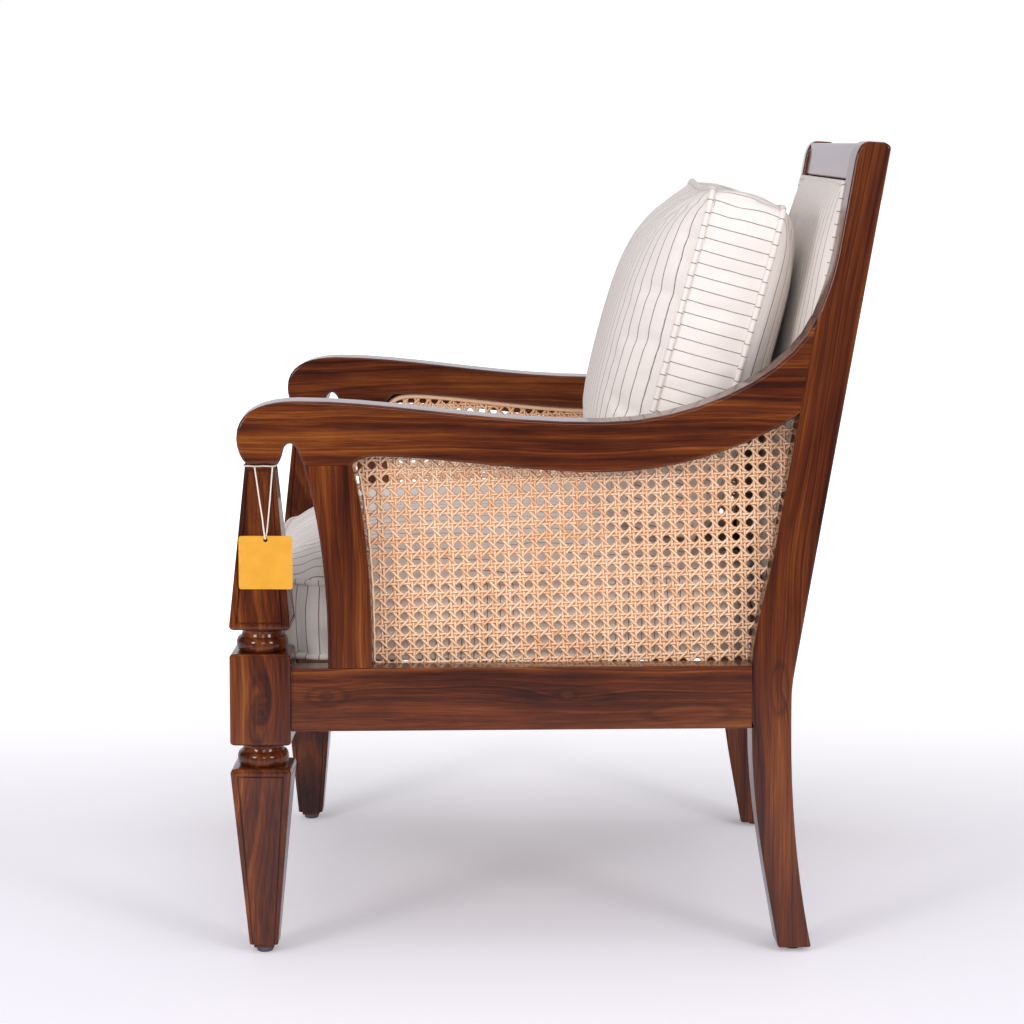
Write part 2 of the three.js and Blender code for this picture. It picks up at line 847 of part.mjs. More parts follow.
// A turned stretch: a bead that sits on the square part below, and a neck above it.
function turnedStretch(base) {
  const arcs = 5;
  const points = [new THREE.Vector2(0, base - overrun), new THREE.Vector2(neckRadius, base - overrun)];
  for (let step = 0; step <= arcs; step += 1) {
    const angle = (step / arcs - 1 / 2) * Math.PI;
    points.push(new THREE.Vector2(
      neckRadius + (beadRadius - neckRadius) * Math.cos(angle),
      base + beadHeight / 2 * (1 + Math.sin(angle)) + fitGap,
    ));
  }
  points.push(new THREE.Vector2(neckRadius, base + turnedHeight + overrun));
  points.push(new THREE.Vector2(0, base + turnedHeight + overrun));
  return new THREE.LatheGeometry(points, 20).rotateX(Math.PI / 2);
}

const footTop = blockBase - turnedHeight;
const postBase = blockTop + turnedHeight;

// Half the post's width at a height, on its flat faces.
function postHalfAt(z) {
  const start = postBase + shoulderRadius;
  const share = (z - start) / (armSeat - fitGap - start);
  return legSquare / 2 + share * (postTopSquare - legSquare) / 2;
}

function frontLeg() {
  const half = legSquare / 2;
  const postTop = armSeat - fitGap;
  const foot = [half, footTop, footSquare / 2, glideHeight];
  const post = [half, postBase, postTopSquare / 2, postTop];
  const blockRings = [
    squareRing(half - arris, blockBase),
    squareRing(half, blockBase + arris),
    squareRing(half, blockTop - arris),
    squareRing(half - arris, blockTop),
  ];
  const whole = join([
    taperedSquare(...foot),
    turnedStretch(footTop),
    loft(blockRings),
    turnedStretch(blockTop),
    taperedSquare(...post),
    moved(postTenon(0), legFrameFromSide),
  ]);
  const sideMortise = moved(sideTenons(fitGap)[0], leftFrame).translate(0, legY, 0);
  return cut(whole, [
    ...fieldGrooves(...foot),
    ...fieldGrooves(...post),
    sideMortise,
    frontRailTongue(fitGap).translate(0, legY, 0),
    frontGlidePin(fitGap),
  ]);
}

// The post's tenon is set out in the side's frame, on the leg's own centre line.
const legFrameFromSide = new THREE.Matrix4().makeTranslation(0, legY, 0).multiply(leftFrame);

// Glides and pads

function pinned(radius, height, pinRadius, pinLength) {
  const round = height / 4;
  const points = [
    new THREE.Vector2(0, 0),
    new THREE.Vector2(radius - round, 0),
    new THREE.Vector2(radius, round),
    new THREE.Vector2(radius, height - fitGap),
    new THREE.Vector2(pinRadius, height - fitGap),
    new THREE.Vector2(pinRadius, height + pinLength),
    new THREE.Vector2(0, height + pinLength),
  ];
  return new THREE.LatheGeometry(points, 16).rotateX(Math.PI / 2);
}

function pinHole(radius, height, length, clearance) {
  const open = radius + clearance;
  const geometry = new THREE.CylinderGeometry(open, open, length + overrun + clearance, 12);
  geometry.rotateX(Math.PI / 2);
  return geometry.translate(0, 0, height + (length - overrun + clearance) / 2);
}

function frontGlidePin(clearance) {
  return pinHole(glidePinRadius, glideHeight, glidePinLength, clearance);
}

function rearFootPin(clearance) {
  return pinHole(glidePinRadius, padHeight, glidePinLength, clearance)
    .translate(sideLength + footKick + footDepth / 2, legThickness / 2, 0);
}

// Seat deck

const slatBase = railTop - slatThickness;
const cleatTop = slatBase - fitGap;

function cleat() {
  const depth = railThickness + fitGap + cleatWidth;
  return block(
    place(railFront + depth * Math.tan(splay), railThickness + fitGap, cleatTop - cleatHeight),
    place(sideLength - fitGap, depth, cleatTop),
  );
}

function slats() {
  const first = legSquare / 2 + seatNotchGap;
  const run = rearRailFront - fitGap - first;
  const gap = (run - slatCount * slatWidth) / (slatCount - 1 / 2);
  return Array.from({ length: slatCount }, (_, index) => {
    const front = first + index * (slatWidth + gap);
    const half = reachAt(front + slatWidth, railThickness + slatEndGap);
    return block(place(front, -half, slatBase), place(front + slatWidth, half, railTop - fitGap));
  });
}

// Corner blocks: each fits round the inner corner of its leg and bears on both rails

const blockTopZ = cleatTop - cleatHeight - fitGap;

function frontBlockCorners() {
  const face = railThickness + fitGap;
  const railBack = frontRailFace + crossRailThickness + fitGap;
  const legBack = legSquare / 2 + fitGap;
  const legIn = -(blockReachIn - fitGap);
  const start = (legBack + face * Math.sin(splay)) / Math.cos(splay);
  return {
    onRail: new THREE.Vector2(railBack, legIn + blockReach),
    onSide: planPoint(start + blockReach, face),
    round: [
      planPoint(start, face),
      new THREE.Vector2(legBack, legIn),
      new THREE.Vector2(railBack, legIn),
    ],
  };
}

function rearBlockCorners() {
  const face = railThickness + fitGap;
  const railFace = rearRailFront - fitGap;
  const legFront = sideLength - fitGap;
  const legIn = legThickness + fitGap;
  const start = planPoint(legFront, legIn);
  const seat = new THREE.Vector2(railFace, -(reachAt(railFace) - fitGap));
  return {
    onRail: new THREE.Vector2(railFace, seat.y + blockReach),
    onSide: planPoint(legFront - blockReach, face),
    round: [planPoint(legFront, face), start, seat],
  };
}

// Two screws stand square to a block's long face, each near one of its ends.
function screwPlaces(corners) {
  const run = corners.onSide.clone().sub(corners.onRail);
  const length = run.length();
  const step = run.clone().normalize();
  const toCorner = corners.round[0].clone().sub(corners.onRail);
  const normal = new THREE.Vector2(-step.y, step.x);
  if (normal.dot(toCorner) < 0) normal.negate();
  return [screwInset, length - screwInset].map((distance) => {
    const start = corners.onRail.clone().addScaledVector(step, distance);
    const turn = new THREE.Matrix4().makeRotationZ(Math.atan2(normal.y, normal.x));
    return new THREE.Matrix4()
      .makeTranslation(start.x, start.y, blockTopZ - blockHeight / 2)
      .multiply(turn)
      .multiply(new THREE.Matrix4().makeRotationY(Math.PI / 2));
  });
}

// Along +Z from the seat of its head.
function screw() {
  const tip = 3 * screwRadius;
  const points = [
    new THREE.Vector2(0, -screwHeadHeight - fitGap),
    new THREE.Vector2(screwHeadRadius / 2, -screwHeadHeight - fitGap),
    new THREE.Vector2(screwHeadRadius, -screwHeadHeight / 2),
    new THREE.Vector2(screwHeadRadius, -fitGap),
    new THREE.Vector2(screwRadius, -fitGap),
    new THREE.Vector2(screwRadius, screwLength - tip),
    new THREE.Vector2(0, screwLength),
  ];
  return new THREE.LatheGeometry(points, 8).rotateX(Math.PI / 2);
}

function screwHole() {
  const geometry = new THREE.CylinderGeometry(
    screwRadius + fitGap,
    screwRadius + fitGap,
    screwLength + 2 * overrun,
    10,
  );
  return geometry.rotateX(Math.PI / 2).translate(0, 0, screwLength / 2);
}

function screwHoles(corners) {
  return screwPlaces(corners).map((matrix) => moved(screwHole(), matrix));
}

function cornerBlock(corners) {
  const outline = new THREE.Shape([corners.onRail, corners.onSide, ...corners.round]);
  return cut(plate(outline, blockTopZ - blockHeight, blockHeight), screwHoles(corners));
}

function bothSides(parts) {
  return [...parts, ...parts.map(mirrored)];
}

function frontRail() {
  const body = board(
    rectangle(frontRailFace, railBase, frontRailFace + crossRailThickness, railTop),
    -(blockReachIn - fitGap),
    blockReachIn - fitGap,
  );
  return cut(join([body, frontRailTongue(0)]), bothSides(screwHoles(frontBlockCorners())));
}

function rearRail() {
  const section = rectangle(rearRailFront, railBase, rearRailFront + crossRailThickness, railTop);
  const body = barBetweenStiles(section);
  return cut(join([body, rearRailTongue(0)]), bothSides(screwHoles(rearBlockCorners())));
}

function sideRail() {
  const body = block(
    place(railFront, 0, railBase),
    place(sideLength - fitGap, railThickness, railTop),
  );
  const holes = [...screwHoles(frontBlockCorners()), ...screwHoles(rearBlockCorners())];
  const squareEnd = moved(block(
    place(-legSquare, -frontWidth, -overrun),
    place(legSquare / 2 + fitGap, 0, overallHeight),
  ), intoLeftFrame);
  return cut(
    join([cut(body, [squareEnd]), ...sideTenons(0)]),
    [stumpTenon(fitGap)[1], ...holes.map((hole) => moved(hole, intoLeftFrame))],
  );
}

function crestRail() {
  const body = barBetweenStiles(leaningShape(crestBase, crestTop, backFrameSetback, backFront));
  return join([body, crestTongue(0)]);
}

function lowerBackRail() {
  const body = barBetweenStiles(leaningShape(lowerRailBase, lowerRailTop, backFrameSetback, backFront));
  return join([body, lowerTongue(0)]);
}

const coverFront = backFrameSetback + backCoverThickness;
const boardBack = coverFront + fitGap;
const boardFront = boardBack + backBoardThickness;

function backPanel(backOffset, frontOffset) {
  return barBetweenStiles(leaningShape(lowerRailTop + fitGap, crestBase - fitGap, backOffset, frontOffset));
}

// Soft parts: rings of one outline, drawn in and raised along a profile of [share of outline, height]

// Height of a crowned face as a share of its rise, at a share of the way out to its edge.
// A soft face domes, and a firm one is flatter on top.
const domed = (share) => (1 - share ** 2.2) ** 0.7;
const plump = (share) => (1 - share ** 3) ** 0.6;
const firm = (share) => (1 - share ** 4) ** 0.5;

function crownProfile(base, crown, fullness, rings) {
  return Array.from({ length: rings }, (_, step) => {
    const share = Math.cos((step + 1) / (rings + 1) * Math.PI / 2);
    return [share, base + crown * fullness(share)];
  });
}

function padded(outline, profile) {
  const ring = ([share, height]) => outline.map((point) => place(point.x * share, point.y * share, height));
  return loft(profile.map(ring));
}

// A boxed cushion: crowned faces over a border that draws in a little between its seams.
function boxCushion(outline, border, top, base) {
  const drawnShare = 0.992;
  const below = base.map(([share, height]) => [share, -height]).reverse();
  return padded(outline, [
    ...below,
    [1, 0],
    [drawnShare, border / 3],
    [drawnShare, border * 2 / 3],
    [1, border],
    ...top,
  ]);
}

// Sides that pull in between sharp corners, sampled evenly along each side.
function drawnOutline(corners, pull) {
  const ring = [];
  corners.forEach((corner, index) => {
    const next = corners[(index + 1) % corners.length];
    const run = next.clone().sub(corner);
    const inward = new THREE.Vector2(-run.y, run.x).normalize();
    const steps = Math.max(1, Math.round(run.length() / sewnStep));
    const dip = steps > 2 ? pull : 0;
    for (let step = 0; step < steps; step += 1) {
      const share = step / steps;
      const drawn = dip * Math.sin(Math.PI * share);
      ring.push(corner.clone().addScaledVector(run, share).addScaledVector(inward, drawn));
    }
  });
  return ring;
}

// Corners cut off by a small radius, as a sewn corner is.
function clippedCorners(corners, radius) {
  return corners.flatMap((corner, index) => {
    const before = corners[(index + corners.length - 1) % corners.length];
    const after = corners[(index + 1) % corners.length];
    const back = before.clone().sub(corner).setLength(radius);
    const on = after.clone().sub(corner).setLength(radius);
    const turnShare = 0.3;
    return [
      corner.clone().add(back),
      corner.clone().addScaledVector(back, turnShare).addScaledVector(on, turnShare),
      corner.clone().add(on),
    ];
  });
}

const seatInset = armThickness + seatSideClearance;
const seatBack = acrossX(stileBackAt(lowerRailTop) - backFront) - seatBackGap;
const seatFront = frontRailFace + seatFrontSetback;
const seatMiddle = (seatFront + seatBack) / 2;
const seatBase = railTop + fitGap + seatBelly;

function seatCushion() {
  const notchX = legSquare / 2 + seatNotchGap;
  const frontHalf = blockReachIn - seatNotchGap;
  const half = [
    new THREE.Vector2(seatFront, -frontHalf),
    new THREE.Vector2(notchX, -frontHalf),
    new THREE.Vector2(notchX, -reachAt(notchX, seatInset)),
    new THREE.Vector2(seatBack, -reachAt(seatBack, seatInset)),
  ];
  const otherHalf = half.map((corner) => new THREE.Vector2(corner.x, -corner.y)).reverse();
  const corners = [...half, ...otherHalf].map((corner) => corner.clone().setX(corner.x - seatMiddle));
  const notchDepth = reachAt(notchX, seatInset) - frontHalf;
  const radius = Math.min(seatCorner, (notchX - seatFront) / 3, notchDepth / 3);
  return boxCushion(
    drawnOutline(clippedCorners(corners, radius), seatPull),
    seatBorder,
    crownProfile(seatBorder, seatCrown, domed, 6),
    crownProfile(0, seatBelly, domed, 2),
  );
}

const backLean = THREE.MathUtils.degToRad(backLeanDegrees);

// The back cushion lies in its own frame: x across the chair, y up its length, z out of its front face.
function backCushion() {
  const halfWidth = reachAt(acrossX(stileFrontAt(jointTop), armThickness), armThickness) - backSideClearance;
  const halfHeight = backHeight / 2;
  const corners = [
    new THREE.Vector2(-halfWidth, -halfHeight),
    new THREE.Vector2(halfWidth, -halfHeight),
    new THREE.Vector2(halfWidth, halfHeight),
    new THREE.Vector2(-halfWidth, halfHeight),
  ];
  return boxCushion(
    drawnOutline(clippedCorners(corners, backCorner), backPull),
    backBorder,
    crownProfile(backBorder, backFrontCrown, plump, 7),
    crownProfile(0, backRearCrown, firm, 5),
  );
}

// Fixed back pad, and where its face lies on the middle line at a height.
const padBase = boardFront + fitGap;
const padLean = Math.atan(rake);
const padFlat = (backFront - padBase) * Math.cos(padLean);
const padLow = lowerRailTop + softGap;
const padRise = crestBase - softGap - padLow;
const padHeightAlong = padRise / Math.cos(padLean) - padFlat * Math.tan(padLean);
const padMiddle = padLow + padHeightAlong / 2 * Math.cos(padLean);

function padFaceAt(z) {
  const share = Math.min(1, Math.abs(z - padMiddle) / (padHeightAlong / 2));
  const rise = (padFlat + backPadCrown * firm(share)) / Math.cos(padLean);
  return acrossX(stileBackAt(z) - padBase) - rise;
}

// Height of the seat cushion's top on the middle line.
function seatTopAt(x) {
  const share = Math.min(1, Math.abs(x - seatMiddle) / ((seatBack - seatFront) / 2));
  return seatBase + seatBorder + seatCrown * domed(share);
}

// The back cushion leans on the pad and stands on the seat cushion: its own middle section, in
// chair directions, is pushed back and then let down until it is one gap away from each.
function backCushionPlace() {
  const up = new THREE.Vector2(Math.sin(backLean), Math.cos(backLean));
  const out = new THREE.Vector2(-Math.cos(backLean), Math.sin(backLean));
  const half = backHeight / 2;
  const at = (height, depth) => up.clone().multiplyScalar(height).addScaledVector(out, depth);
  const shares = Array.from({ length: 41 }, (_, step) => step / 20 - 1);
  const rear = shares.map((share) => at(share * half, -backRearCrown * firm(Math.abs(share))));
  const lower = shares.filter((share) => share < 0);
  const foot = [
    at(-half, 0),
    at(-half, backBorder),
    ...lower.map((share) => at(share * half, backBorder + backFrontCrown * plump(-share))),
    ...lower.map((share) => at(share * half, -backRearCrown * firm(-share))),
  ];
  const middle = new THREE.Vector2(seatBack, crestBase);
  const rounds = 12;
  for (let round = 0; round < rounds; round += 1) {
    middle.x = Math.min(...rear.map((point) => padFaceAt(middle.y + point.y) - point.x)) - cushionGap;
    middle.y = Math.max(...foot.map((point) => seatTopAt(middle.x + point.x) - point.y)) + cushionGap;
  }
  return place(middle.x, 0, middle.y);
}

// The pad in its own frame: x across, y up the lean, z out of its front face.
function backPad() {
  const widthAt = (z) => reachAt(acrossX(stileBackAt(z) - backFront)) - softGap;
  const corners = [
    new THREE.Vector2(-widthAt(lowerRailTop), -padHeightAlong / 2),
    new THREE.Vector2(widthAt(lowerRailTop), -padHeightAlong / 2),
    new THREE.Vector2(widthAt(crestBase), padHeightAlong / 2),
    new THREE.Vector2(-widthAt(crestBase), padHeightAlong / 2),
  ];
  const outline = drawnOutline(clippedCorners(corners, padCorner), 0);
  const edgeShares = [0.96, 0.99];
  return padded(outline, [
    [edgeShares[0], 0],
    [edgeShares[1], padFlat / 2],
    [1, padFlat],
    ...crownProfile(padFlat, backPadCrown, firm, 5),
  ]);
}

// Hang tag and string, in the frame of the left front leg with the floor at z = 0

const tagBottom = tagTop - tagSize;
const tagMiddleY = -(postHalfAt(tagBottom) + tagStandOff);
const tagHoleZ = tagTop - tagHoleDrop;
const turnLow = tagHoleZ + tagHoleRadius - fitGap - stringRadius; // the card hangs from the string
const loopZ = armSeat - stringLoopDrop;
const loopHalf = postHalfAt(loopZ) + stringRadius + fitGap;
const strandY = -(loopHalf + 2 * stringRadius + fitGap);

function hangTag() {
  const half = tagSize / 2;
  const outline = rectangle(tagShift - half, tagBottom, tagShift + half, tagTop);
  const hole = new THREE.Path();
  hole.absarc(tagShift, tagHoleZ, tagHoleRadius, 0, 2 * Math.PI, true);
  outline.holes.push(hole);
  return board(outline, tagMiddleY - tagThickness / 2, tagMiddleY + tagThickness / 2, 6);
}

// The string's route, chosen by hand: down in front of the tag, through its hole and up behind it.
function stringPoints() {
  const [front, behind] = [tagMiddleY - stringTurnRadius, tagMiddleY + stringTurnRadius];
  const turn = turnLow + stringTurnRadius;
  const eighthShare = Math.SQRT1_2;
  const [turnFront, turnBehind] = [-1, 1].map((way) => tagMiddleY + way * eighthShare * stringTurnRadius);
  const turnSide = turn - eighthShare * stringTurnRadius;
  const lay = (end, middle, share) => end + share * (middle - end);
  return [
    place(-5.4, strandY, loopZ),
    place(-2.2, lay(strandY, front, 0.25), 544),
    place(1, lay(strandY, front, 0.5), 524),
    place(4.2, lay(strandY, front, 0.75), 506),
    place(6.3, front, turn + 5),
    place(7, front, turn),
    place(7.2, turnFront, turnSide),
    place(tagShift, tagMiddleY, turnLow),
    place(8, turnBehind, turnSide),
    place(8.2, behind, turn),
    place(9, behind, turn + 5),
    place(10.4, lay(strandY, behind, 0.75), 506),
    place(12, lay(strandY, behind, 0.5), 524),
    place(13.6, lay(strandY, behind, 0.25), 544),
    place(15, strandY, loopZ),
  ];
}

function circle(radius, sides) {
  return new THREE.Shape(Array.from({ length: sides }, (_, side) => {
    const angle = side / sides * 2 * Math.PI;
    return new THREE.Vector2(radius * Math.cos(angle), radius * Math.sin(angle));
  }));
}

function tagString() {
  return new THREE.ExtrudeGeometry(circle(stringRadius, 8), {
    steps: 44,
    bevelEnabled: false,
    extrudePath: new THREE.CatmullRomCurve3(stringPoints()),
  });
}

// One turn of string round the post, just under the arm.
function stringLoop() {
  const corner = 3 * stringRadius;
  const path = new THREE.Path();
  const flat = loopHalf - corner;
  path.absarc(flat, flat, corner, 0, Math.PI / 2);
  path.absarc(-flat, flat, corner, Math.PI / 2, Math.PI);
  path.absarc(-flat, -flat, corner, Math.PI, 1.5 * Math.PI);
  path.absarc(flat, -flat, corner, 1.5 * Math.PI, 2 * Math.PI);
  path.closePath();
  const route = path.getSpacedPoints(28).slice(0, -1);
  const rings = route.map((point, index) => {
    const before = route[(index + route.length - 1) % route.length];
    const after = route[(index + 1) % route.length];
    const run = after.clone().sub(before).normalize();
    return Array.from({ length: 8 }, (_, side) => {
      const angle = -side / 8 * 2 * Math.PI;
      const out = stringRadius * Math.cos(angle);
      return place(point.x + run.y * out, point.y - run.x * out, loopZ + stringRadius * Math.sin(angle));
    });
  });
  return loft(rings, true);
}

// Assembly

const chair = new THREE.Group();
const left = new THREE.Group();
const right = new THREE.Group();
left.position.set(0, -sideY, 0);
left.rotation.z = splay;
right.position.set(0, sideY, 0);
right.rotation.z = -splay;
chair.add(left, right);

function add(group, name, geometry, material) {
  const mesh = new THREE.Mesh(geometry, material);
  mesh.name = name;
  group.add(mesh);
  return mesh;
}

// One piece in the left side's frame and its mirror image in the right side's.
function addPair(name, geometry, material) {
  add(left, `${name}_left`, geometry, material);
  add(right, `${name}_right`, mirrored(geometry), material);
}

addPair('rear_leg', rearLeg(), wood);
addPair('arm', arm(), wood);
addPair('arm_stump', armStump(), wood);
addPair('side_rail', sideRail(), wood);
addPair('cane_panel', canePanel(), cane);
addPair('cane_spline', caneSpline(), cane);
addPair('seat_cleat', cleat(), plainWood);
addPair(
  'rear_foot_pad',
  pinned(padRadius, padHeight, glidePinRadius, glidePinLength)
    .translate(sideLength + footKick + footDepth / 2, legThickness / 2, 0),
  rubber,
);

const frontLegShape = frontLeg();
const glideShape = pinned(glideRadius, glideHeight, glidePinRadius, glidePinLength);
add(chair, 'front_leg_left', frontLegShape, wood).position.y = -legY;
add(chair, 'front_leg_right', mirrored(frontLegShape), wood).position.y = legY;
add(chair, 'front_glide_left', glideShape, steel).position.y = -legY;
add(chair, 'front_glide_right', glideShape.clone(), steel).position.y = legY;

add(chair, 'front_rail', frontRail(), wood);
add(chair, 'rear_rail', rearRail(), wood);
add(chair, 'crest_rail', crestRail(), wood);
add(chair, 'lower_back_rail', lowerBackRail(), wood);
add(chair, 'back_board', backPanel(boardBack, boardFront), plainWood);
add(chair, 'back_outside_cover', backPanel(backFrameSetback, coverFront), fabric);

slats().forEach((geometry, index) => add(chair, `seat_slat_${index + 1}`, geometry, plainWood));

const cornerSets = { front: frontBlockCorners(), rear: rearBlockCorners() };
Object.entries(cornerSets).forEach(([end, corners]) => {
  const shape = cornerBlock(corners);
  add(chair, `${end}_corner_block_left`, shape, plainWood);
  add(chair, `${end}_corner_block_right`, mirrored(shape), plainWood);
  screwPlaces(corners).forEach((matrix, index) => {
    const fastener = moved(screw(), matrix);
    add(chair, `${end}_block_screw_left_${index + 1}`, fastener, steel);
    add(chair, `${end}_block_screw_right_${index + 1}`, mirrored(fastener), steel);
  });
});

const pad = add(chair, 'back_pad', backPad(), fabric);
pad.position.set(acrossX(stileBackAt(padMiddle) - padBase), 0, padMiddle);
pad.quaternion.setFromRotationMatrix(new THREE.Matrix4().makeBasis(
  place(0, -1, 0),
  place(rake, 0, 1).normalize(),
  place(-1, 0, rake).normalize(),
));

const seat = add(chair, 'seat_cushion', seatCushion(), fabric);
seat.position.set(seatMiddle, 0, seatBase);

const back = add(chair, 'back_cushion', backCushion(), fabric);
back.position.copy(backCushionPlace());
back.quaternion.setFromRotationMatrix(new THREE.Matrix4().makeBasis(
  place(0, -1, 0),
  place(Math.sin(backLean), 0, Math.cos(backLean)),
  place(-Math.cos(backLean), 0, Math.sin(backLean)),
));

const tagGroup = new THREE.Group();
tagGroup.position.y = -legY;
chair.add(tagGroup);
add(tagGroup, 'hang_tag', hangTag(), card);
add(tagGroup, 'tag_string', tagString(), cotton);
add(tagGroup, 'tag_string_loop', stringLoop(), cotton);

// The origin goes to the middle of the footprint.
const box = new THREE.Box3().setFromObject(chair);
chair.position.x = -(box.min.x + box.max.x) / 2;

export default chair;
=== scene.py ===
"""A colonial armchair in dark teak with cane sides, a fixed upholstered back and two striped loose cushions.

Metres, +Z up. The chair faces -X, the sitter's left is at -Y, and the floor is z = 0.
"""

from __future__ import annotations

import json
import logging
import math
from dataclasses import dataclass
from enum import Enum
from typing import Sequence

import bmesh
import bpy
import numpy as np
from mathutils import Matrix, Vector
from mathutils.bvhtree import BVHTree

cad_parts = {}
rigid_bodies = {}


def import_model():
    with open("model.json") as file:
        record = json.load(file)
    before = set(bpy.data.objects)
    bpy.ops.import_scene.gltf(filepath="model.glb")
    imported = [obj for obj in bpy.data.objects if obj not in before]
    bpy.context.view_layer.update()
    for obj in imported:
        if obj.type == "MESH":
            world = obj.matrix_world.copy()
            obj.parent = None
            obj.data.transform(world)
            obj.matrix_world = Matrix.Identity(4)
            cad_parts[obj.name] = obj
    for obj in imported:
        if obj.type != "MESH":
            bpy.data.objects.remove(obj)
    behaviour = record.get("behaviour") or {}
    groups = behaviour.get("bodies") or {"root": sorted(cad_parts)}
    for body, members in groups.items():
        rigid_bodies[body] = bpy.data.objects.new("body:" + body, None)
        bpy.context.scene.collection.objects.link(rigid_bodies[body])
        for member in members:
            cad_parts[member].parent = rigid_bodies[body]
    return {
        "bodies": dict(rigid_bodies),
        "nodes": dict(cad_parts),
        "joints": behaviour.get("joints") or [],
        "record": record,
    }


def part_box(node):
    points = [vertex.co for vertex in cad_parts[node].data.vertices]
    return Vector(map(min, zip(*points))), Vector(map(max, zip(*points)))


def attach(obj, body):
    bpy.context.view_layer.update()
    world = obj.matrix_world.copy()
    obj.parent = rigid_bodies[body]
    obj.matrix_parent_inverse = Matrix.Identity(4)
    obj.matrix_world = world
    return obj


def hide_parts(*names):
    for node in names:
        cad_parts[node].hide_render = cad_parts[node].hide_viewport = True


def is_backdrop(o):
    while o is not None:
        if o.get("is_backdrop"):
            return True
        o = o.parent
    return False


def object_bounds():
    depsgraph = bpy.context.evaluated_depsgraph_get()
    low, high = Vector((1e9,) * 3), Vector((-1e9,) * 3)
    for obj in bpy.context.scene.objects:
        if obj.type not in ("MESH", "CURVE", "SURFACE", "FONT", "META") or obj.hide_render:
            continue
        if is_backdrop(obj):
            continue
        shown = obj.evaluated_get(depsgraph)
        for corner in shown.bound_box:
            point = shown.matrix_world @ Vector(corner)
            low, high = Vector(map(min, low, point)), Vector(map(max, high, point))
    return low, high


log = logging.getLogger("chair")

SEED = 7
TURN = 2 * math.pi

Colour = tuple[float, float, float, float]
Place = tuple[float, float, float]
Socket = bpy.types.NodeSocket


# Numbers and curves


def paint(red: int, green: int, blue: int) -> Colour:
    """A screen colour, 0 to 255 a channel, as the linear colour that a shader reads.

    Args:
        red: The red channel.
        green: The green channel.
        blue: The blue channel.

    Returns:
        The linear colour, with an alpha of one.
    """
    shares = np.array([red, green, blue]) / 255
    linear = np.where(shares <= 0.04045, shares / 12.92, ((shares + 0.055) / 1.055) ** 2.4)
    return (float(linear[0]), float(linear[1]), float(linear[2]), 1.0)


def smooth_step(value: np.ndarray, low: float, high: float) -> np.ndarray:
    """Goes from 0 at low to 1 at high as 3t^2 - 2t^3."""
    share = np.clip((value - low) / (high - low), 0, 1)
    return share * share * (3 - 2 * share)


def bezier(corners: Sequence[tuple[float, float]], count: int) -> np.ndarray:
    """A cubic curve through a plane: the sum of (1-t)^3, 3t(1-t)^2, 3t^2(1-t) and t^3 times its four points.

    Args:
        corners: The four control points.
        count: How many points to give.

    Returns:
        The points of the curve, count by 2.
    """
    share = np.linspace(0, 1, count)[:, None]
    left = 1 - share
    first, second, third, last = (np.array(corner) for corner in corners)
    return left**3 * first + 3 * share * left**2 * second + 3 * share**2 * left * third + share**3 * last


def around(count: int) -> np.ndarray:
    """Equal angles once round a circle."""
    return np.arange(count) / count * TURN


def lengths_along(points: np.ndarray, closed: bool = False) -> np.ndarray:
    """The distance travelled at each point of a line.

    Args:
        points: The line.
        closed: Whether to add the distance back to the first point at the end.

    Returns:
        One distance for each point, and one more where the line is closed.
    """
    line = np.vstack([points, points[:1]]) if closed else points
    return np.concatenate([[0], np.cumsum(np.linalg.norm(np.diff(line, axis=0), axis=1))])


def evened(points: np.ndarray, count: int, closed: bool = False) -> np.ndarray:
    """Reads a line of points again at equal steps of its length, straight between neighbours.

    Args:
        points: The line, n by 2 or 3.
        count: How many points to give.
        closed: Whether the last point runs back to the first.

    Returns:
        The points at equal steps.
    """
    line = np.vstack([points, points[:1]]) if closed else points
    travelled = lengths_along(points, closed)
    wanted = np.linspace(0, travelled[-1], count, endpoint=not closed)
    return np.stack([np.interp(wanted, travelled, part) for part in line.T], axis=1)


def softened(points: np.ndarray, rounds: int) -> np.ndarray:
    """Rounds a closed line off: each point becomes half itself and a quarter of each neighbour, in rounds.

    Args:
        points: The closed line.
        rounds: How many times.

    Returns:
        The rounded line, with as many points.
    """
    line = points
    for _ in range(rounds):
        line = line / 2 + (np.roll(line, 1, axis=0) + np.roll(line, -1, axis=0)) / 4
    return line


def directions(points: np.ndarray, closed: bool = False) -> np.ndarray:
    """Unit directions along a line, each from the point before to the point after.

    Args:
        points: The line.
        closed: Whether the line runs on from its last point to its first.

    Returns:
        One unit vector for each point.
    """
    if closed:
        run = np.roll(points, -1, axis=0) - np.roll(points, 1, axis=0)
    else:
        run = np.gradient(points, axis=0)
    return run / np.linalg.norm(run, axis=1, keepdims=True)


def beside(run: np.ndarray, way: float = 1.0) -> np.ndarray:
    """Flat directions turned a quarter to the right, or to the left where way is -1."""
    return way * np.stack([run[:, 1], -run[:, 0]], axis=1)


def inside(points: np.ndarray, ring: np.ndarray) -> np.ndarray:
    """Tells which points lie in a closed ring: a ray to the right crosses it an odd number of times.

    Args:
        points: The points, n by 2.
        ring: The ring's corners, m by 2.

    Returns:
        True for each point inside.
    """
    low, high = ring, np.roll(ring, -1, axis=0)
    level = points[:, 1:2]
    spans = (low[None, :, 1] > level) != (high[None, :, 1] > level)
    rise = np.where(high[:, 1] == low[:, 1], 1e-12, high[:, 1] - low[:, 1])
    crossing = low[:, 0] + (level - low[:, 1]) / rise * (high[:, 0] - low[:, 0])
    return (np.sum(spans & (points[:, 0:1] < crossing), axis=1) % 2).astype(bool)


def grown(ring: np.ndarray, distance: float) -> np.ndarray:
    """Moves each corner of an anticlockwise ring outwards, square to the ring."""
    return ring + distance * beside(directions(ring, closed=True))


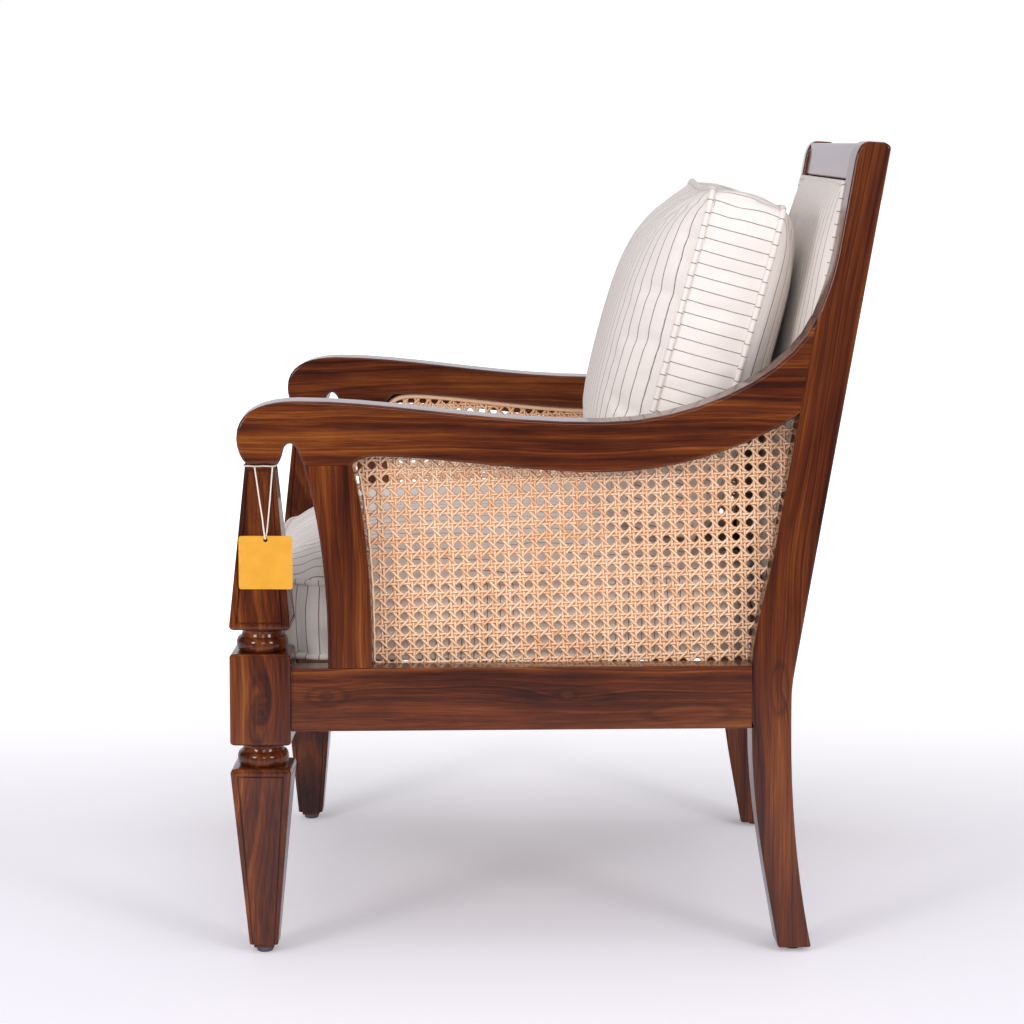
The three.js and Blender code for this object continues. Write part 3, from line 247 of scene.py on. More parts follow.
def spin(angle: float) -> np.ndarray:
    """The table that flat places are multiplied by to turn them by an angle."""
    cosine, sine = math.cos(angle), math.sin(angle)
    return np.array([[cosine, sine], [-sine, cosine]])


def unrolled(lengths: np.ndarray, turns: np.ndarray) -> np.ndarray:
    """Every pair of a length along and a place round, lengths by places by 2."""
    return np.stack(np.meshgrid(lengths, turns, indexing="ij"), axis=-1)


def circle(angles: np.ndarray, wide: float, high: float) -> np.ndarray:
    """Points on an ellipse: its half width times the cosine and its half height times the sine."""
    return np.stack([wide * np.cos(angles), high * np.sin(angles)], axis=1)


# Meshes


def quads(rows: int, columns: int, closed_rows: bool = False, closed_columns: bool = False) -> np.ndarray:
    """Faces of a grid of points numbered row by row: each joins a point to those on its right and below.

    Args:
        rows: Rows of points.
        columns: Points in a row.
        closed_rows: Whether the last row joins the first.
        closed_columns: Whether each row runs round on itself.

    Returns:
        Four point numbers for each face.
    """
    down = np.arange(rows if closed_rows else rows - 1)[:, None]
    right = np.arange(columns if closed_columns else columns - 1)[None, :]
    below, after = (down + 1) % rows, (right + 1) % columns
    corners = [
        down * columns + right,
        down * columns + after,
        below * columns + after,
        below * columns + right,
    ]
    return np.stack(np.broadcast_arrays(*corners), axis=-1).reshape(-1, 4)


def rim(rows: int, columns: int) -> np.ndarray:
    """Point numbers round the edge of a grid, from the middle of the first row to its right and on round.

    Args:
        rows: Rows of points.
        columns: Points in a row.

    Returns:
        The numbers, each once.
    """
    first, down = np.arange(columns), np.arange(1, rows - 1) * columns
    ring = np.concatenate([first, down + columns - 1, (rows - 1) * columns + first[::-1], down[::-1]])
    return np.roll(ring, -(columns // 2))


def tube(path: np.ndarray, section: np.ndarray, side: np.ndarray, lift: np.ndarray) -> np.ndarray:
    """Carries a flat profile along a path: point + side times its first number + lift times its second.

    Args:
        path: The path's points, n by 3.
        section: The profile, m by 2, or n by m by 2 where it changes along the path.
        side: The profile's first direction at each point of the path.
        lift: Its second direction.

    Returns:
        The grid of points, n by m by 3.
    """
    profile = section if section.ndim == 3 else np.broadcast_to(section, (len(path), *section.shape))
    return path[:, None, :] + profile[..., 0:1] * side[:, None, :] + profile[..., 1:2] * lift[:, None, :]


def mend(mesh: bpy.types.Mesh, merge: bool) -> None:
    """Turns every face outwards, and first merges doubled points where it is told to.

    Args:
        mesh: The mesh.
        merge: Whether to merge.
    """
    work = bmesh.new()
    work.from_mesh(mesh)
    if merge:
        bmesh.ops.remove_doubles(work, verts=work.verts, dist=2e-6)
    bmesh.ops.recalc_face_normals(work, faces=work.faces)
    work.to_mesh(mesh)
    work.free()


def link(name: str, data: bpy.types.ID) -> bpy.types.Object:
    """Puts an object into the scene, at the origin.

    Args:
        name: The object's name.
        data: Its mesh, light or camera.

    Returns:
        The object.
    """
    thing = bpy.data.objects.new(name, data)
    bpy.context.scene.collection.objects.link(thing)
    return thing


def subdivide(piece: bpy.types.Object) -> None:
    """Adds one subdivision, the same in the view and in the picture."""
    finer = piece.modifiers.new("finer", "SUBSURF")
    finer.levels = finer.render_levels = 1


def flatten_shading(piece: bpy.types.Object) -> None:
    """Shades the flats level up to their eased edges."""
    piece.modifiers.new("even_faces", "WEIGHTED_NORMAL").keep_sharp = True


class Skin:
    """Points, faces and cloth places gathered for one mesh."""

    def __init__(self) -> None:
        """Starts empty."""
        self.points: list[np.ndarray] = []
        self.faces: list[np.ndarray] = []
        self.lay: list[np.ndarray] = []
        self.count = 0

    def add(self, points: np.ndarray, faces: np.ndarray, lay: np.ndarray | None = None) -> int:
        """Adds points and the faces between them.

        Args:
            points: New points, n by 3.
            faces: Point numbers that count from the new points' first, m by k.
            lay: The place on flat cloth of each face corner, m by k by 2.

        Returns:
            The number that the first new point has in the mesh.
        """
        start = self.count
        self.points.append(points.reshape(-1, 3))
        self.count += len(self.points[-1])
        self.join(faces + start, lay)
        return start

    def join(self, faces: np.ndarray, lay: np.ndarray | None = None) -> None:
        """Adds faces between points that are there, with the place on flat cloth of each face corner."""
        self.faces.append(faces)
        self.lay.append(np.zeros((*faces.shape, 2)) if lay is None else lay)

    def grid(
        self,
        points: np.ndarray,
        lay: np.ndarray | None = None,
        closed_rows: bool = False,
        closed_columns: bool = False,
        ends: bool = False,
    ) -> None:
        """Adds a surface given as a grid of points.

        Args:
            points: Rows by columns by 3.
            lay: Places on flat cloth, with one more row or column where the grid is closed that way.
            closed_rows: Whether the last row joins the first.
            closed_columns: Whether each row runs round on itself.
            ends: Whether the first and the last row are closed with a face each.
        """
        rows, columns = points.shape[:2]
        corners = None if lay is None else lay.reshape(-1, 2)[quads(*lay.shape[:2])]
        start = self.add(points, quads(rows, columns, closed_rows, closed_columns), corners)
        if ends:
            row = np.arange(columns)
            self.join(start + row[None, ::-1])
            self.join(start + (rows - 1) * columns + row[None, :])

    def piece(self, name: str, merge: bool = True) -> bpy.types.Object:
        """Makes the smooth mesh, with its faces outwards, and its object.

        Args:
            name: The piece's name.
            merge: Whether to merge doubled points.

        Returns:
            The new object, which stands at the origin.
        """
        points = np.vstack(self.points).astype(np.float32)
        sizes = np.concatenate([np.full(len(faces), faces.shape[1]) for faces in self.faces])
        corners = np.concatenate([faces.ravel() for faces in self.faces]).astype(np.int32)
        starts = np.concatenate([[0], np.cumsum(sizes)[:-1]]).astype(np.int32)
        flat = np.concatenate([lay.reshape(-1, 2) for lay in self.lay]).astype(np.float32)
        mesh = bpy.data.meshes.new(name)
        mesh.vertices.add(len(points))
        mesh.vertices.foreach_set("co", points.ravel())
        mesh.loops.add(len(corners))
        mesh.loops.foreach_set("vertex_index", corners)
        mesh.polygons.add(len(sizes))
        mesh.polygons.foreach_set("loop_start", starts)
        mesh.polygons.foreach_set("use_smooth", np.full(len(sizes), True))
        mesh.uv_layers.new(name="cloth").data.foreach_set("uv", flat.ravel())
        mesh.update(calc_edges=True)
        mend(mesh, merge)
        return link(name, mesh)


# Finishes


class Recipe:
    """The nodes of a material or of the world, built up one at a time."""

    def __init__(self, owner: bpy.types.Material | bpy.types.World) -> None:
        """Starts empty.

        Args:
            owner: What the nodes belong to.
        """
        owner.use_nodes = True
        self.owner = owner
        self.tree = owner.node_tree
        self.tree.nodes.clear()

    def node(self, kind: str, inputs: dict, **settings: object) -> bpy.types.Node:
        """Adds a node.

        Args:
            kind: The node's type, without its usual first word.
            inputs: A value or another node's output for each input, by name or number.
            **settings: The node's own settings.

        Returns:
            The new node.
        """
        node = self.tree.nodes.new("ShaderNode" + kind)
        for key, value in settings.items():
            setattr(node, key, value)
        for key, value in inputs.items():
            if isinstance(value, Socket):
                self.tree.links.new(value, node.inputs[key])
            else:
                node.inputs[key].default_value = value
        return node

    def place(self) -> Socket:
        """The point's own coordinates in metres."""
        return self.node("TexCoord", {}).outputs["Object"]

    def cloth(self) -> Socket:
        """The point's place on the flat cloth, in metres."""
        return self.node("UVMap", {}, uv_map="cloth").outputs["UV"]

    def split(self, vector: Socket) -> tuple[Socket, ...]:
        """The three parts of a vector."""
        return tuple(self.node("SeparateXYZ", {0: vector}).outputs)

    def gather(self, *parts: object) -> Socket:
        """One vector from three parts."""
        return self.node("CombineXYZ", dict(enumerate(parts))).outputs[0]

    def calc(self, operation: str, *values: object) -> Socket:
        """One step of arithmetic."""
        return self.node("Math", dict(enumerate(values)), operation=operation).outputs[0]

    def weighed(self, *terms: tuple[Socket, float], start: object = None) -> Socket:
        """The sum of some values, each times its weight.

        Args:
            *terms: Each value and its weight.
            start: What they are added to.

        Returns:
            The sum.
        """
        total = start
        for value, weight in terms:
            if total is None:
                total = self.calc("MULTIPLY", value, weight)
            else:
                total = self.calc("MULTIPLY_ADD", value, weight, total)
        return total

    def highest(self, values: Sequence[Socket]) -> Socket:
        """The highest of some values.

        Args:
            values: One value or more.

        Returns:
            The highest.
        """
        most = values[0]
        for value in values[1:]:
            most = self.calc("MAXIMUM", most, value)
        return most

    def wave(self, value: Socket, turns: float) -> Socket:
        """A sine wave with this many turns to a step of one."""
        return self.calc("SINE", self.calc("MULTIPLY", value, TURN * turns))

    def vector(self, operation: str, *values: object) -> Socket:
        """One step of arithmetic on vectors."""
        node = self.node("VectorMath", dict(enumerate(values)), operation=operation)
        return node.outputs["Value" if operation == "LENGTH" else 0]

    def scaled(self, vector: Socket, x: float, y: float, z: float) -> Socket:
        """A vector with each part multiplied."""
        return self.vector("MULTIPLY", vector, (x, y, z))

    def noise(
        self,
        vector: Socket,
        scale: float = 1.0,
        detail: float = 2.0,
        roughness: float = 0.5,
        distortion: float = 0.0,
    ) -> Socket:
        """Soft random values from 0 to 1 over space.

        Args:
            vector: Where to read them.
            scale: How many lumps to a metre.
            detail: How many finer layers there are.
            roughness: How strong the finer layers are.
            distortion: How much the lumps are pulled about.

        Returns:
            The value.
        """
        inputs = {
            "Vector": vector,
            "Scale": scale,
            "Detail": detail,
            "Roughness": roughness,
            "Distortion": distortion,
        }
        return self.node("TexNoise", inputs).outputs[0]

    def line_noise(self, value: Socket, scale: float, detail: float) -> Socket:
        """Soft random values from 0 to 1 along one number."""
        inputs = {"W": value, "Scale": scale, "Detail": detail}
        return self.node("TexNoise", inputs, noise_dimensions="1D").outputs[0]

    def remap(self, value: Socket, low: float, high: float, start: object = 0.0, end: object = 1.0) -> Socket:
        """Stretches low to high onto start to end, and holds what is outside."""
        return self.node("MapRange", {0: value, 1: low, 2: high, 3: start, 4: end}, clamp=True).outputs[0]

    def mix(self, factor: object, first: object, second: object) -> Socket:
        """A colour between two, which is the second where the factor is one."""
        return self.node("Mix", {0: factor, 6: first, 7: second}, data_type="RGBA").outputs[2]

    def ramp(self, value: Socket, stops: Sequence[tuple[float, Colour]]) -> Socket:
        """Colours set out along 0 to 1.

        Args:
            value: Where to read the colours.
            stops: Places and colours in order.

        Returns:
            The colour.
        """
        node = self.node("ValToRGB", {0: value})
        elements = node.color_ramp.elements
        elements[0].position, elements[0].color = stops[0]
        elements[1].position, elements[1].color = stops[-1]
        for position, colour in stops[1:-1]:
            elements.new(position).color = colour
        return node.outputs[0]

    def bump(self, height: Socket, distance: float, strength: float, normal: Socket | None = None) -> Socket:
        """Surface relief from a height of 0 to 1.

        Args:
            height: The height.
            distance: What a height of 1 is in metres.
            strength: How much of the relief shows.
            normal: Relief that is there already.

        Returns:
            The bent surface direction.
        """
        inputs = {"Height": height, "Distance": distance, "Strength": strength}
        if normal is not None:
            inputs["Normal"] = normal
        return self.node("Bump", inputs).outputs[0]

    def surface(self, inputs: dict) -> bpy.types.Material:
        """Ends the material with its shader.

        Args:
            inputs: The shader's inputs.

        Returns:
            The material.
        """
        shader = self.node("BsdfPrincipled", inputs)
        self.node("OutputMaterial", {"Surface": shader.outputs[0]})
        return self.owner


def new_recipe(name: str) -> Recipe:
    """An empty material to build."""
    return Recipe(bpy.data.materials.new(name))


class Grain(Enum):
    """The way the timber's grain runs."""

    LENGTHWISE = "front to back"
    UPRIGHT = "up"
    RAKED = "up, and leaning with the back above the arm"
    CROSSWISE = "side to side"


@dataclass(frozen=True)
class Knot:
    """A knot in the timber: its middle, how far the grain swells along, across and up, and its dark core."""

    place: Place
    along: float
    across: float
    rise: float
    core: float

    def stretch(self, grain: Grain) -> Place:
        """What a way from its middle is multiplied by, so that the swell's edge lies at one.

        Args:
            grain: The way the grain runs.

        Returns:
            The three factors.
        """
        along, across = 1 / self.along, 1 / self.across
        ways = {Grain.LENGTHWISE: (along, 0.0, across), Grain.CROSSWISE: (0.0, along, across)}
        return ways.get(grain, (across, 0.0, along))


@dataclass(frozen=True)
class Timber:
    """Dark teak under a clear lacquer. Its figure is a height field whose level lines are the rings."""

    deep: Colour = paint(38, 14, 8)
    dark: Colour = paint(60, 23, 10)
    body: Colour = paint(86, 37, 14)
    warm: Colour = paint(112, 55, 17)
    light: Colour = paint(140, 80, 28)
    knot: Colour = paint(84, 38, 22)
    roughness: float = 0.36
    coat: float = 0.8
    coat_roughness: float = 0.1
    bend_height: float = 0.46
    lean: float = 0.178
    pith: tuple[float, float] = (0.052, 0.071)

    def finish(self, name: str, grain: Grain, shift: Place, knots: Sequence[Knot] = ()) -> bpy.types.Material:
        """Makes the material for one piece.

        The ring field is the distance from a pith line beside the piece, plus slow and quick wander,
        plus a hill at each knot. Colour comes from one-number noise read along that field.

        Args:
            name: The material's name.
            grain: The way the grain runs.
            shift: Moves the figure, so that no two pieces match.
            knots: Knots that show on this piece.

        Returns:
            The material.
        """
        recipe = new_recipe(name)
        place = recipe.place()
        line = recipe.vector("ADD", recipe.gather(*self.ordered(recipe, place, grain)), shift)
        along, across, depth = recipe.split(line)
        slow = recipe.noise(recipe.scaled(line, 2.4, 11.0, 11.0))
        quick = recipe.noise(recipe.scaled(line, 14.0, 90.0, 90.0))
        side, back = (recipe.calc("ADD", *pair) for pair in zip((across, depth), self.pith))
        squares = [recipe.calc("MULTIPLY", part, part) for part in (side, back)]
        reach = recipe.calc("SQRT", recipe.calc("ADD", *squares))
        field = recipe.calc("ADD", reach, recipe.calc("MULTIPLY", along, 0.02))
        field = recipe.weighed((slow, 0.034), (quick, 0.0022), start=field)
        cores, rims = [], []
        for knot in knots:
            away = recipe.vector("SUBTRACT", place, knot.place)
            size = recipe.vector("LENGTH", recipe.scaled(away, *knot.stretch(grain)))
            hill = recipe.calc("DIVIDE", 1.0, recipe.calc("MULTIPLY_ADD", size, size, 1.0))
            field = recipe.weighed((hill, knot.rise), start=field)
            near = recipe.vector("LENGTH", recipe.scaled(away, 0.8, 0.0, 1.25))
            cores.append(recipe.remap(near, knot.core, 1.5 * knot.core, 1.0, 0.0))
            wavy = recipe.weighed((quick, 0.5), start=size)
            almond = recipe.calc("ABSOLUTE", recipe.calc("SUBTRACT", wavy, 1.2))
            rims.append(recipe.remap(near, 1.2 * knot.core, 3.0 * knot.core, 1.0, 0.0))
            rims.append(recipe.remap(almond, 0.0, 0.3, 0.7, 0.0))

        broad, fine = recipe.line_noise(field, 85.0, 3.0), recipe.line_noise(field, 520.0, 2.0)
        patch = recipe.noise(recipe.scaled(line, 3.0, 22.0, 22.0), 1.0, 3.0, 0.55)
        streak = recipe.noise(recipe.scaled(line, 9.0, 320.0, 320.0), 1.0, 3.0, 0.6)
        tone = recipe.weighed((broad, 0.55), (fine, 0.22), (patch, 0.6), (streak, 0.35))
        tone = recipe.calc("SUBTRACT", tone, 0.36)
        colours = (self.deep, self.dark, self.body, self.warm, self.light)
        colour = recipe.ramp(tone, list(zip((0.26, 0.38, 0.5, 0.62, 0.76), colours)))
        pore = recipe.remap(recipe.noise(recipe.scaled(line, 42.0, 1500.0, 1500.0)), 0.6, 0.72)
        colour = recipe.mix(recipe.calc("MULTIPLY", pore, 0.42), colour, self.deep)
        if knots:
            colour = recipe.mix(recipe.calc("MULTIPLY", recipe.highest(rims), 0.62), colour, self.deep)
            colour = recipe.mix(recipe.calc("MULTIPLY", recipe.highest(cores), 0.6), colour, self.knot)
        relief = recipe.weighed((fine, 0.5), (pore, -0.7))
        swell = recipe.noise(recipe.scaled(line, 5.0, 40.0, 40.0), 1.0, 1.0)
        return recipe.surface({
            "Base Color": colour,
            "Roughness": recipe.remap(patch, 0.3, 0.7, self.roughness - 0.05, self.roughness + 0.07),
            "Normal": recipe.bump(relief, 0.00009, 0.5, recipe.bump(swell, 0.0006, 0.35)),
            "Coat Weight": self.coat,
            "Coat Roughness": self.coat_roughness,
            "Specular IOR Level": 0.1,
            "IOR": 1.45,
        })

    def ordered(self, recipe: Recipe, place: Socket, grain: Grain) -> tuple[Socket, ...]:
        """The point's coordinates along the grain, across it and deep into it.

        Args:
            recipe: The material.
            place: The point's coordinates.
            grain: The way the grain runs; a raked one leans back above a height.

        Returns:
            The three parts.
        """
        x, y, z = recipe.split(place)
        if grain is Grain.RAKED:
            above = recipe.calc("SMOOTH_MAX", recipe.calc("SUBTRACT", z, self.bend_height), 0.0, 0.08)
            x = recipe.calc("SUBTRACT", x, recipe.calc("MULTIPLY", above, self.lean))
        return {Grain.LENGTHWISE: (x, z, y), Grain.CROSSWISE: (y, z, x)}.get(grain, (z, x, y))


@dataclass(frozen=True)
class PlainTimber:
    """Unfinished softwood of the hidden parts, coloured a darker brown than bare softwood, partly its stain
    and partly painted shade where it shows in the shaded gap beside the seat cushion.
    """

    pale: Colour = paint(134, 86, 54)
    dark: Colour = paint(92, 56, 36)

    def finish(self, name: str, grain: Grain) -> bpy.types.Material:
        """Makes the material: streaks along the grain, a few darker rings, and a dry surface.

        Args:
            name: The material's name.
            grain: The way the grain runs.

        Returns:
            The material.
        """
        recipe = new_recipe(name)
        stretch = (4.0, 60.0, 60.0) if grain is Grain.LENGTHWISE else (60.0, 4.0, 60.0)
        place = recipe.scaled(recipe.place(), *stretch)
        streak = recipe.noise(place, 1.0, 4.0, 0.6, 0.4)
        fibre = recipe.noise(recipe.scaled(place, 3.0, 3.0, 3.0), 4.0)
        colour = recipe.mix(recipe.remap(streak, 0.35, 0.68), self.dark, self.pale)
        return recipe.surface({
            "Base Color": recipe.mix(recipe.remap(fibre, 0.55, 0.8, 0.0, 0.3), colour, self.dark),
            "Roughness": recipe.remap(streak, 0.3, 0.7, 0.62, 0.75),
            "Normal": recipe.bump(fibre, 0.0002, 0.5),
        })


@dataclass(frozen=True)
class Cane:
    """Split rattan, pale and satin, with fibres along each strand and its own tone for each."""

    pale: Colour = paint(255, 218, 182)
    body: Colour = paint(248, 198, 156)
    dark: Colour = paint(220, 160, 116)

    def finish(self, name: str) -> bpy.types.Material:
        """Makes the material, which reads the strand's length, width and tone from the mesh, and darkens each
        strand toward its sides as painted shade.

        Args:
            name: The material's name.

        Returns:
            The material.
        """
        recipe = new_recipe(name)
        strand = recipe.node("Attribute", {}, attribute_name="strand").outputs["Vector"]
        length, width, tone = recipe.split(strand)
        shifted = recipe.gather(recipe.weighed((tone, 3.0), start=length), width, recipe.weighed((tone, 9.0)))
        fibre = recipe.noise(recipe.scaled(shifted, 35.0, 2.6, 1.0), 1.0, 3.0, 0.6)
        blush = recipe.noise(recipe.place(), 26.0)
        shade = recipe.weighed((fibre, 0.45), (tone, 0.35), (blush, 0.35))
        colour = recipe.ramp(shade, [(0.25, self.dark), (0.45, self.body), (0.8, self.pale)])
        # Painted shade: each strand darkens toward its two sides.
        edge = recipe.remap(recipe.calc("ABSOLUTE", width), 0.6, 1.0, 0.0, 0.55)
        return recipe.surface({
            "Base Color": recipe.mix(edge, colour, self.dark),
            "Roughness": recipe.remap(fibre, 0.3, 0.7, 0.48, 0.62),
            "Normal": recipe.bump(fibre, 0.00012, 0.5),
            "Specular IOR Level": 0.3,
        })


@dataclass(frozen=True)
class Cloth:
    """Cream cotton with grey-brown pinstripes along its second direction, and a fine rib between them."""

    ground: Colour = paint(240, 233, 225)
    shade: Colour = paint(228, 219, 210)
    stripe: Colour = paint(116, 98, 94)
    pitch: float = 0.0148
    start: float = 100.5
    stripe_width: float = 0.00105
    ribs: float = 9.0
    thread: float = 0.00055

    def finish(self, name: str) -> bpy.types.Material:
        """Makes the material, which reads the flat cloth's places in metres.

        A pinstripe is where the distance to the middle of its pitch is under half its width. The ribs are
        sine waves across the pitch, and the weave is a sine each way at the thread's width.

        Args:
            name: The material's name.

        Returns:
            The material.
        """
        recipe = new_recipe(name)
        cloth = recipe.cloth()
        across, along, _ = recipe.split(cloth)
        pulled = recipe.weighed((recipe.noise(cloth, 60.0), 0.0005), start=across)
        turn = recipe.calc("DIVIDE", pulled, self.pitch)
        share = recipe.calc("FRACT", recipe.calc("ADD", turn, self.start))
        away = recipe.calc("ABSOLUTE", recipe.calc("SUBTRACT", share, 0.5))
        half = self.stripe_width / self.pitch / 2
        line = recipe.remap(away, 0.6 * half, 1.5 * half, 1.0, 0.0)
        yarn = recipe.noise(recipe.scaled(cloth, 900.0, 260.0, 1.0))
        line = recipe.calc("MULTIPLY", line, recipe.remap(yarn, 0.3, 0.6, 0.72, 1.0))
        rib = recipe.wave(turn, self.ribs)
        weave = recipe.calc("MULTIPLY", *(recipe.wave(way, 1 / self.thread) for way in (across, along)))
        slub = recipe.noise(recipe.scaled(cloth, 40.0, 700.0, 1.0))
        colour = recipe.mix(recipe.remap(rib, 0.1, 1.0, 0.0, 0.75), self.ground, self.shade)
        colour = recipe.mix(recipe.remap(slub, 0.4, 0.75, 0.0, 0.3), colour, self.shade)
        return recipe.surface({
            "Base Color": recipe.mix(line, colour, self.stripe),
            "Roughness": recipe.remap(slub, 0.3, 0.7, 0.82, 0.92),
            "Normal": recipe.bump(recipe.weighed((rib, 0.2), (weave, 0.12), (slub, 0.2)), 0.00025, 0.5),
            "Sheen Weight": 0.15,
            "Sheen Roughness": 0.4,
        })


@dataclass(frozen=True)
class Thread:
    """Twisted thread or string: darker where the plies meet, a painted shade."""

    pale: Colour
    dark: Colour
    twist: float

    def finish(self, name: str) -> bpy.types.Material:
        """Makes the material, which reads the length and the way round from the cloth places.

        Args:
            name: The material's name.

        Returns:
            The material.
        """
        recipe = new_recipe(name)
        length, turn, _ = recipe.split(recipe.cloth())
        ply = recipe.wave(recipe.weighed((turn, 3.0), (length, self.twist)), 1.0)
        fuzz = recipe.noise(recipe.place(), 4200.0)
        # Painted shade where the plies meet, with random fuzz on top.
        shade = recipe.weighed((ply, 0.3), (fuzz, 0.4), start=0.3)
        return recipe.surface({
            "Base Color": recipe.mix(recipe.remap(shade, 0.1, 0.7), self.dark, self.pale),
            "Roughness": recipe.remap(fuzz, 0.3, 0.7, 0.8, 0.92),
            "Normal": recipe.bump(shade, 0.0002, 0.6),
            "Sheen Weight": 0.2,
        })


@dataclass(frozen=True)
class Speckled:
    """A plain finish with blotches of a second colour, and a fine tooth for its gloss and its relief.

    Blotches and tooth are noise, each given by its lumps to a metre each way and its layers. The blotch's
    range is where its colour starts and is full, and how much of it there is then.
    """

    body: Colour
    second: Colour
    blotch: Place
    blotch_layers: float
    blotch_range: tuple[float, float, float]
    tooth: Place
    tooth_layers: float
    gloss: tuple[float, float]
    depth: float
    strength: float = 0.5
    metallic: float = 0.0

    def finish(self, name: str) -> bpy.types.Material:
        """Makes the material.

        Args:
            name: The material's name.

        Returns:
            The material.
        """
        recipe = new_recipe(name)
        place = recipe.place()
        blotch = recipe.noise(recipe.scaled(place, *self.blotch), 1.0, self.blotch_layers)
        tooth = recipe.noise(recipe.scaled(place, *self.tooth), 1.0, self.tooth_layers)
        low, high, most = self.blotch_range
        return recipe.surface({
            "Base Color": recipe.mix(recipe.remap(blotch, low, high, 0.0, most), self.body, self.second),
            "Metallic": self.metallic,
            "Roughness": recipe.remap(tooth, 0.3, 0.7, *self.gloss),
            "Normal": recipe.bump(tooth, self.depth, self.strength),
        })


BRIGHT_STEEL = Speckled(
    body=paint(112, 112, 116),
    second=paint(82, 82, 86),
    blotch=(400.0, 400.0, 3000.0),
    blotch_layers=2.0,
    blotch_range=(0.3, 0.7, 0.25),
    tooth=(400.0, 400.0, 3000.0),
    tooth_layers=2.0,
    gloss=(0.22, 0.38),
    depth=0.00003,
    strength=0.4,
    metallic=1.0,
)
BLACK_RUBBER = Speckled(
    body=paint(38, 34, 32),
    second=paint(74, 68, 64),
    blotch=(160.0, 160.0, 160.0),
    blotch_layers=2.0,
    blotch_range=(0.5, 0.8, 0.6),
    tooth=(1800.0, 1800.0, 1800.0),
    tooth_layers=3.0,
    gloss=(0.6, 0.78),
    depth=0.0001,
)
YELLOW_CARD = Speckled(
    body=paint(222, 156, 28),
    second=paint(228, 164, 38),
    blotch=(70.0, 70.0, 70.0),
    blotch_layers=3.0,
    blotch_range=(0.35, 0.65, 1.0),
    tooth=(2600.0, 2600.0, 2600.0),
    tooth_layers=2.0,
    gloss=(0.48, 0.6),
    depth=0.00005,
)
COTTON_STRING = Thread(paint(250, 246, 238), paint(206, 196, 180), 260.0)
TAN_THREAD = Thread(paint(206, 184, 150), paint(150, 126, 96), 300.0)


# The chair's own places


@dataclass(frozen=True)
class Side:
    """One side of the chair, in its own frame: back along the rail, inwards from the outer face, and up."""

    way: int
    start: float
    splay: float = math.radians(2.7)
    outer: float = 0.3457

    @property
    def word(self) -> str:
        """The side's name."""
        return "left" if self.way < 0 else "right"

    def out(self, points: np.ndarray) -> np.ndarray:
        """Takes places in the side's frame to the chair's: a turn by the splay, mirrored for the right.

        Args:
            points: Places along, inward and up, last axis 3.

        Returns:
            The same places in the chair's frame.
        """
        along, inward, up = points[..., 0], points[..., 1], points[..., 2]
        turn, slide = math.cos(self.splay), math.sin(self.splay)
        x = self.start + along * turn - inward * slide
        return np.stack([x, self.way * (self.outer - along * slide - inward * turn), up], axis=-1)

    def back(self, points: np.ndarray) -> np.ndarray:
        """Takes places in the chair's frame to the side's, the other way round.

        Args:
            points: Places in the chair's frame, last axis 3.

        Returns:
            The same places along, inward and up.
        """
        x, y = points[..., 0] - self.start, self.outer - self.way * points[..., 1]
        turn, slide = math.cos(self.splay), math.sin(self.splay)
        return np.stack([x * turn + y * slide, y * turn - x * slide, points[..., 2]], axis=-1)


class Workshop:
    """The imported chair: its nodes, its sides and the finishes that pieces share."""

    def __init__(self) -> None:
        """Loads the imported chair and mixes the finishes."""
        self.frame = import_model()
        self.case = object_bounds()
        low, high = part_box("front_glide_left")
        start = (low[0] + high[0]) / 2
        self.sides = (Side(-1, start), Side(1, start))
        self.leg_y = abs(low[1] + high[1]) / 2
        self.timber = Timber()
        self.cloth = Cloth().finish("striped_cotton")
        self.cane = Cane().finish("split_cane")
        self.steel = BRIGHT_STEEL.finish("bright_steel")
        self.rubber = BLACK_RUBBER.finish("black_rubber")
        self.string = COTTON_STRING.finish("cotton_string")
        self.stitch = TAN_THREAD.finish("tan_thread")
        self.card = YELLOW_CARD.finish("yellow_card")

    def node(self, name: str) -> bpy.types.Object:
        """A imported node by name."""
        return self.frame["nodes"][name]

    def fit(
        self,
        piece: bpy.types.Object,
        material: bpy.types.Material,
        body: str,
        slot: str,
        node: str = "",
    ) -> None:
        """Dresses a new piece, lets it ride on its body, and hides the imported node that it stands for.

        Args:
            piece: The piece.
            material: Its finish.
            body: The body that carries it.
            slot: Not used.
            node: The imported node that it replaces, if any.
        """
        piece.data.materials.clear()
        piece.data.materials.append(material)
        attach(piece, body)
        if node:
            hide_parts(node)
        log.info("%s rides on %s", piece.name, body)

    def paint_node(self, name: str, material: bpy.types.Material) -> None:
        """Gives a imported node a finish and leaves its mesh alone.

        Args:
            name: The node's name.
            material: The finish.
        """
        node = self.node(name)
        if not node.material_slots:
            node.data.materials.append(material)
        for place in node.material_slots:
            place.material = material
        log.info("%s keeps its packed mesh", name)


# Timber


@dataclass(frozen=True)
class Board:
    """How one timber node is finished."""

    node: str
    grain: Grain
    shift: Place
    edge: float
    knots: tuple[Knot, ...] = ()


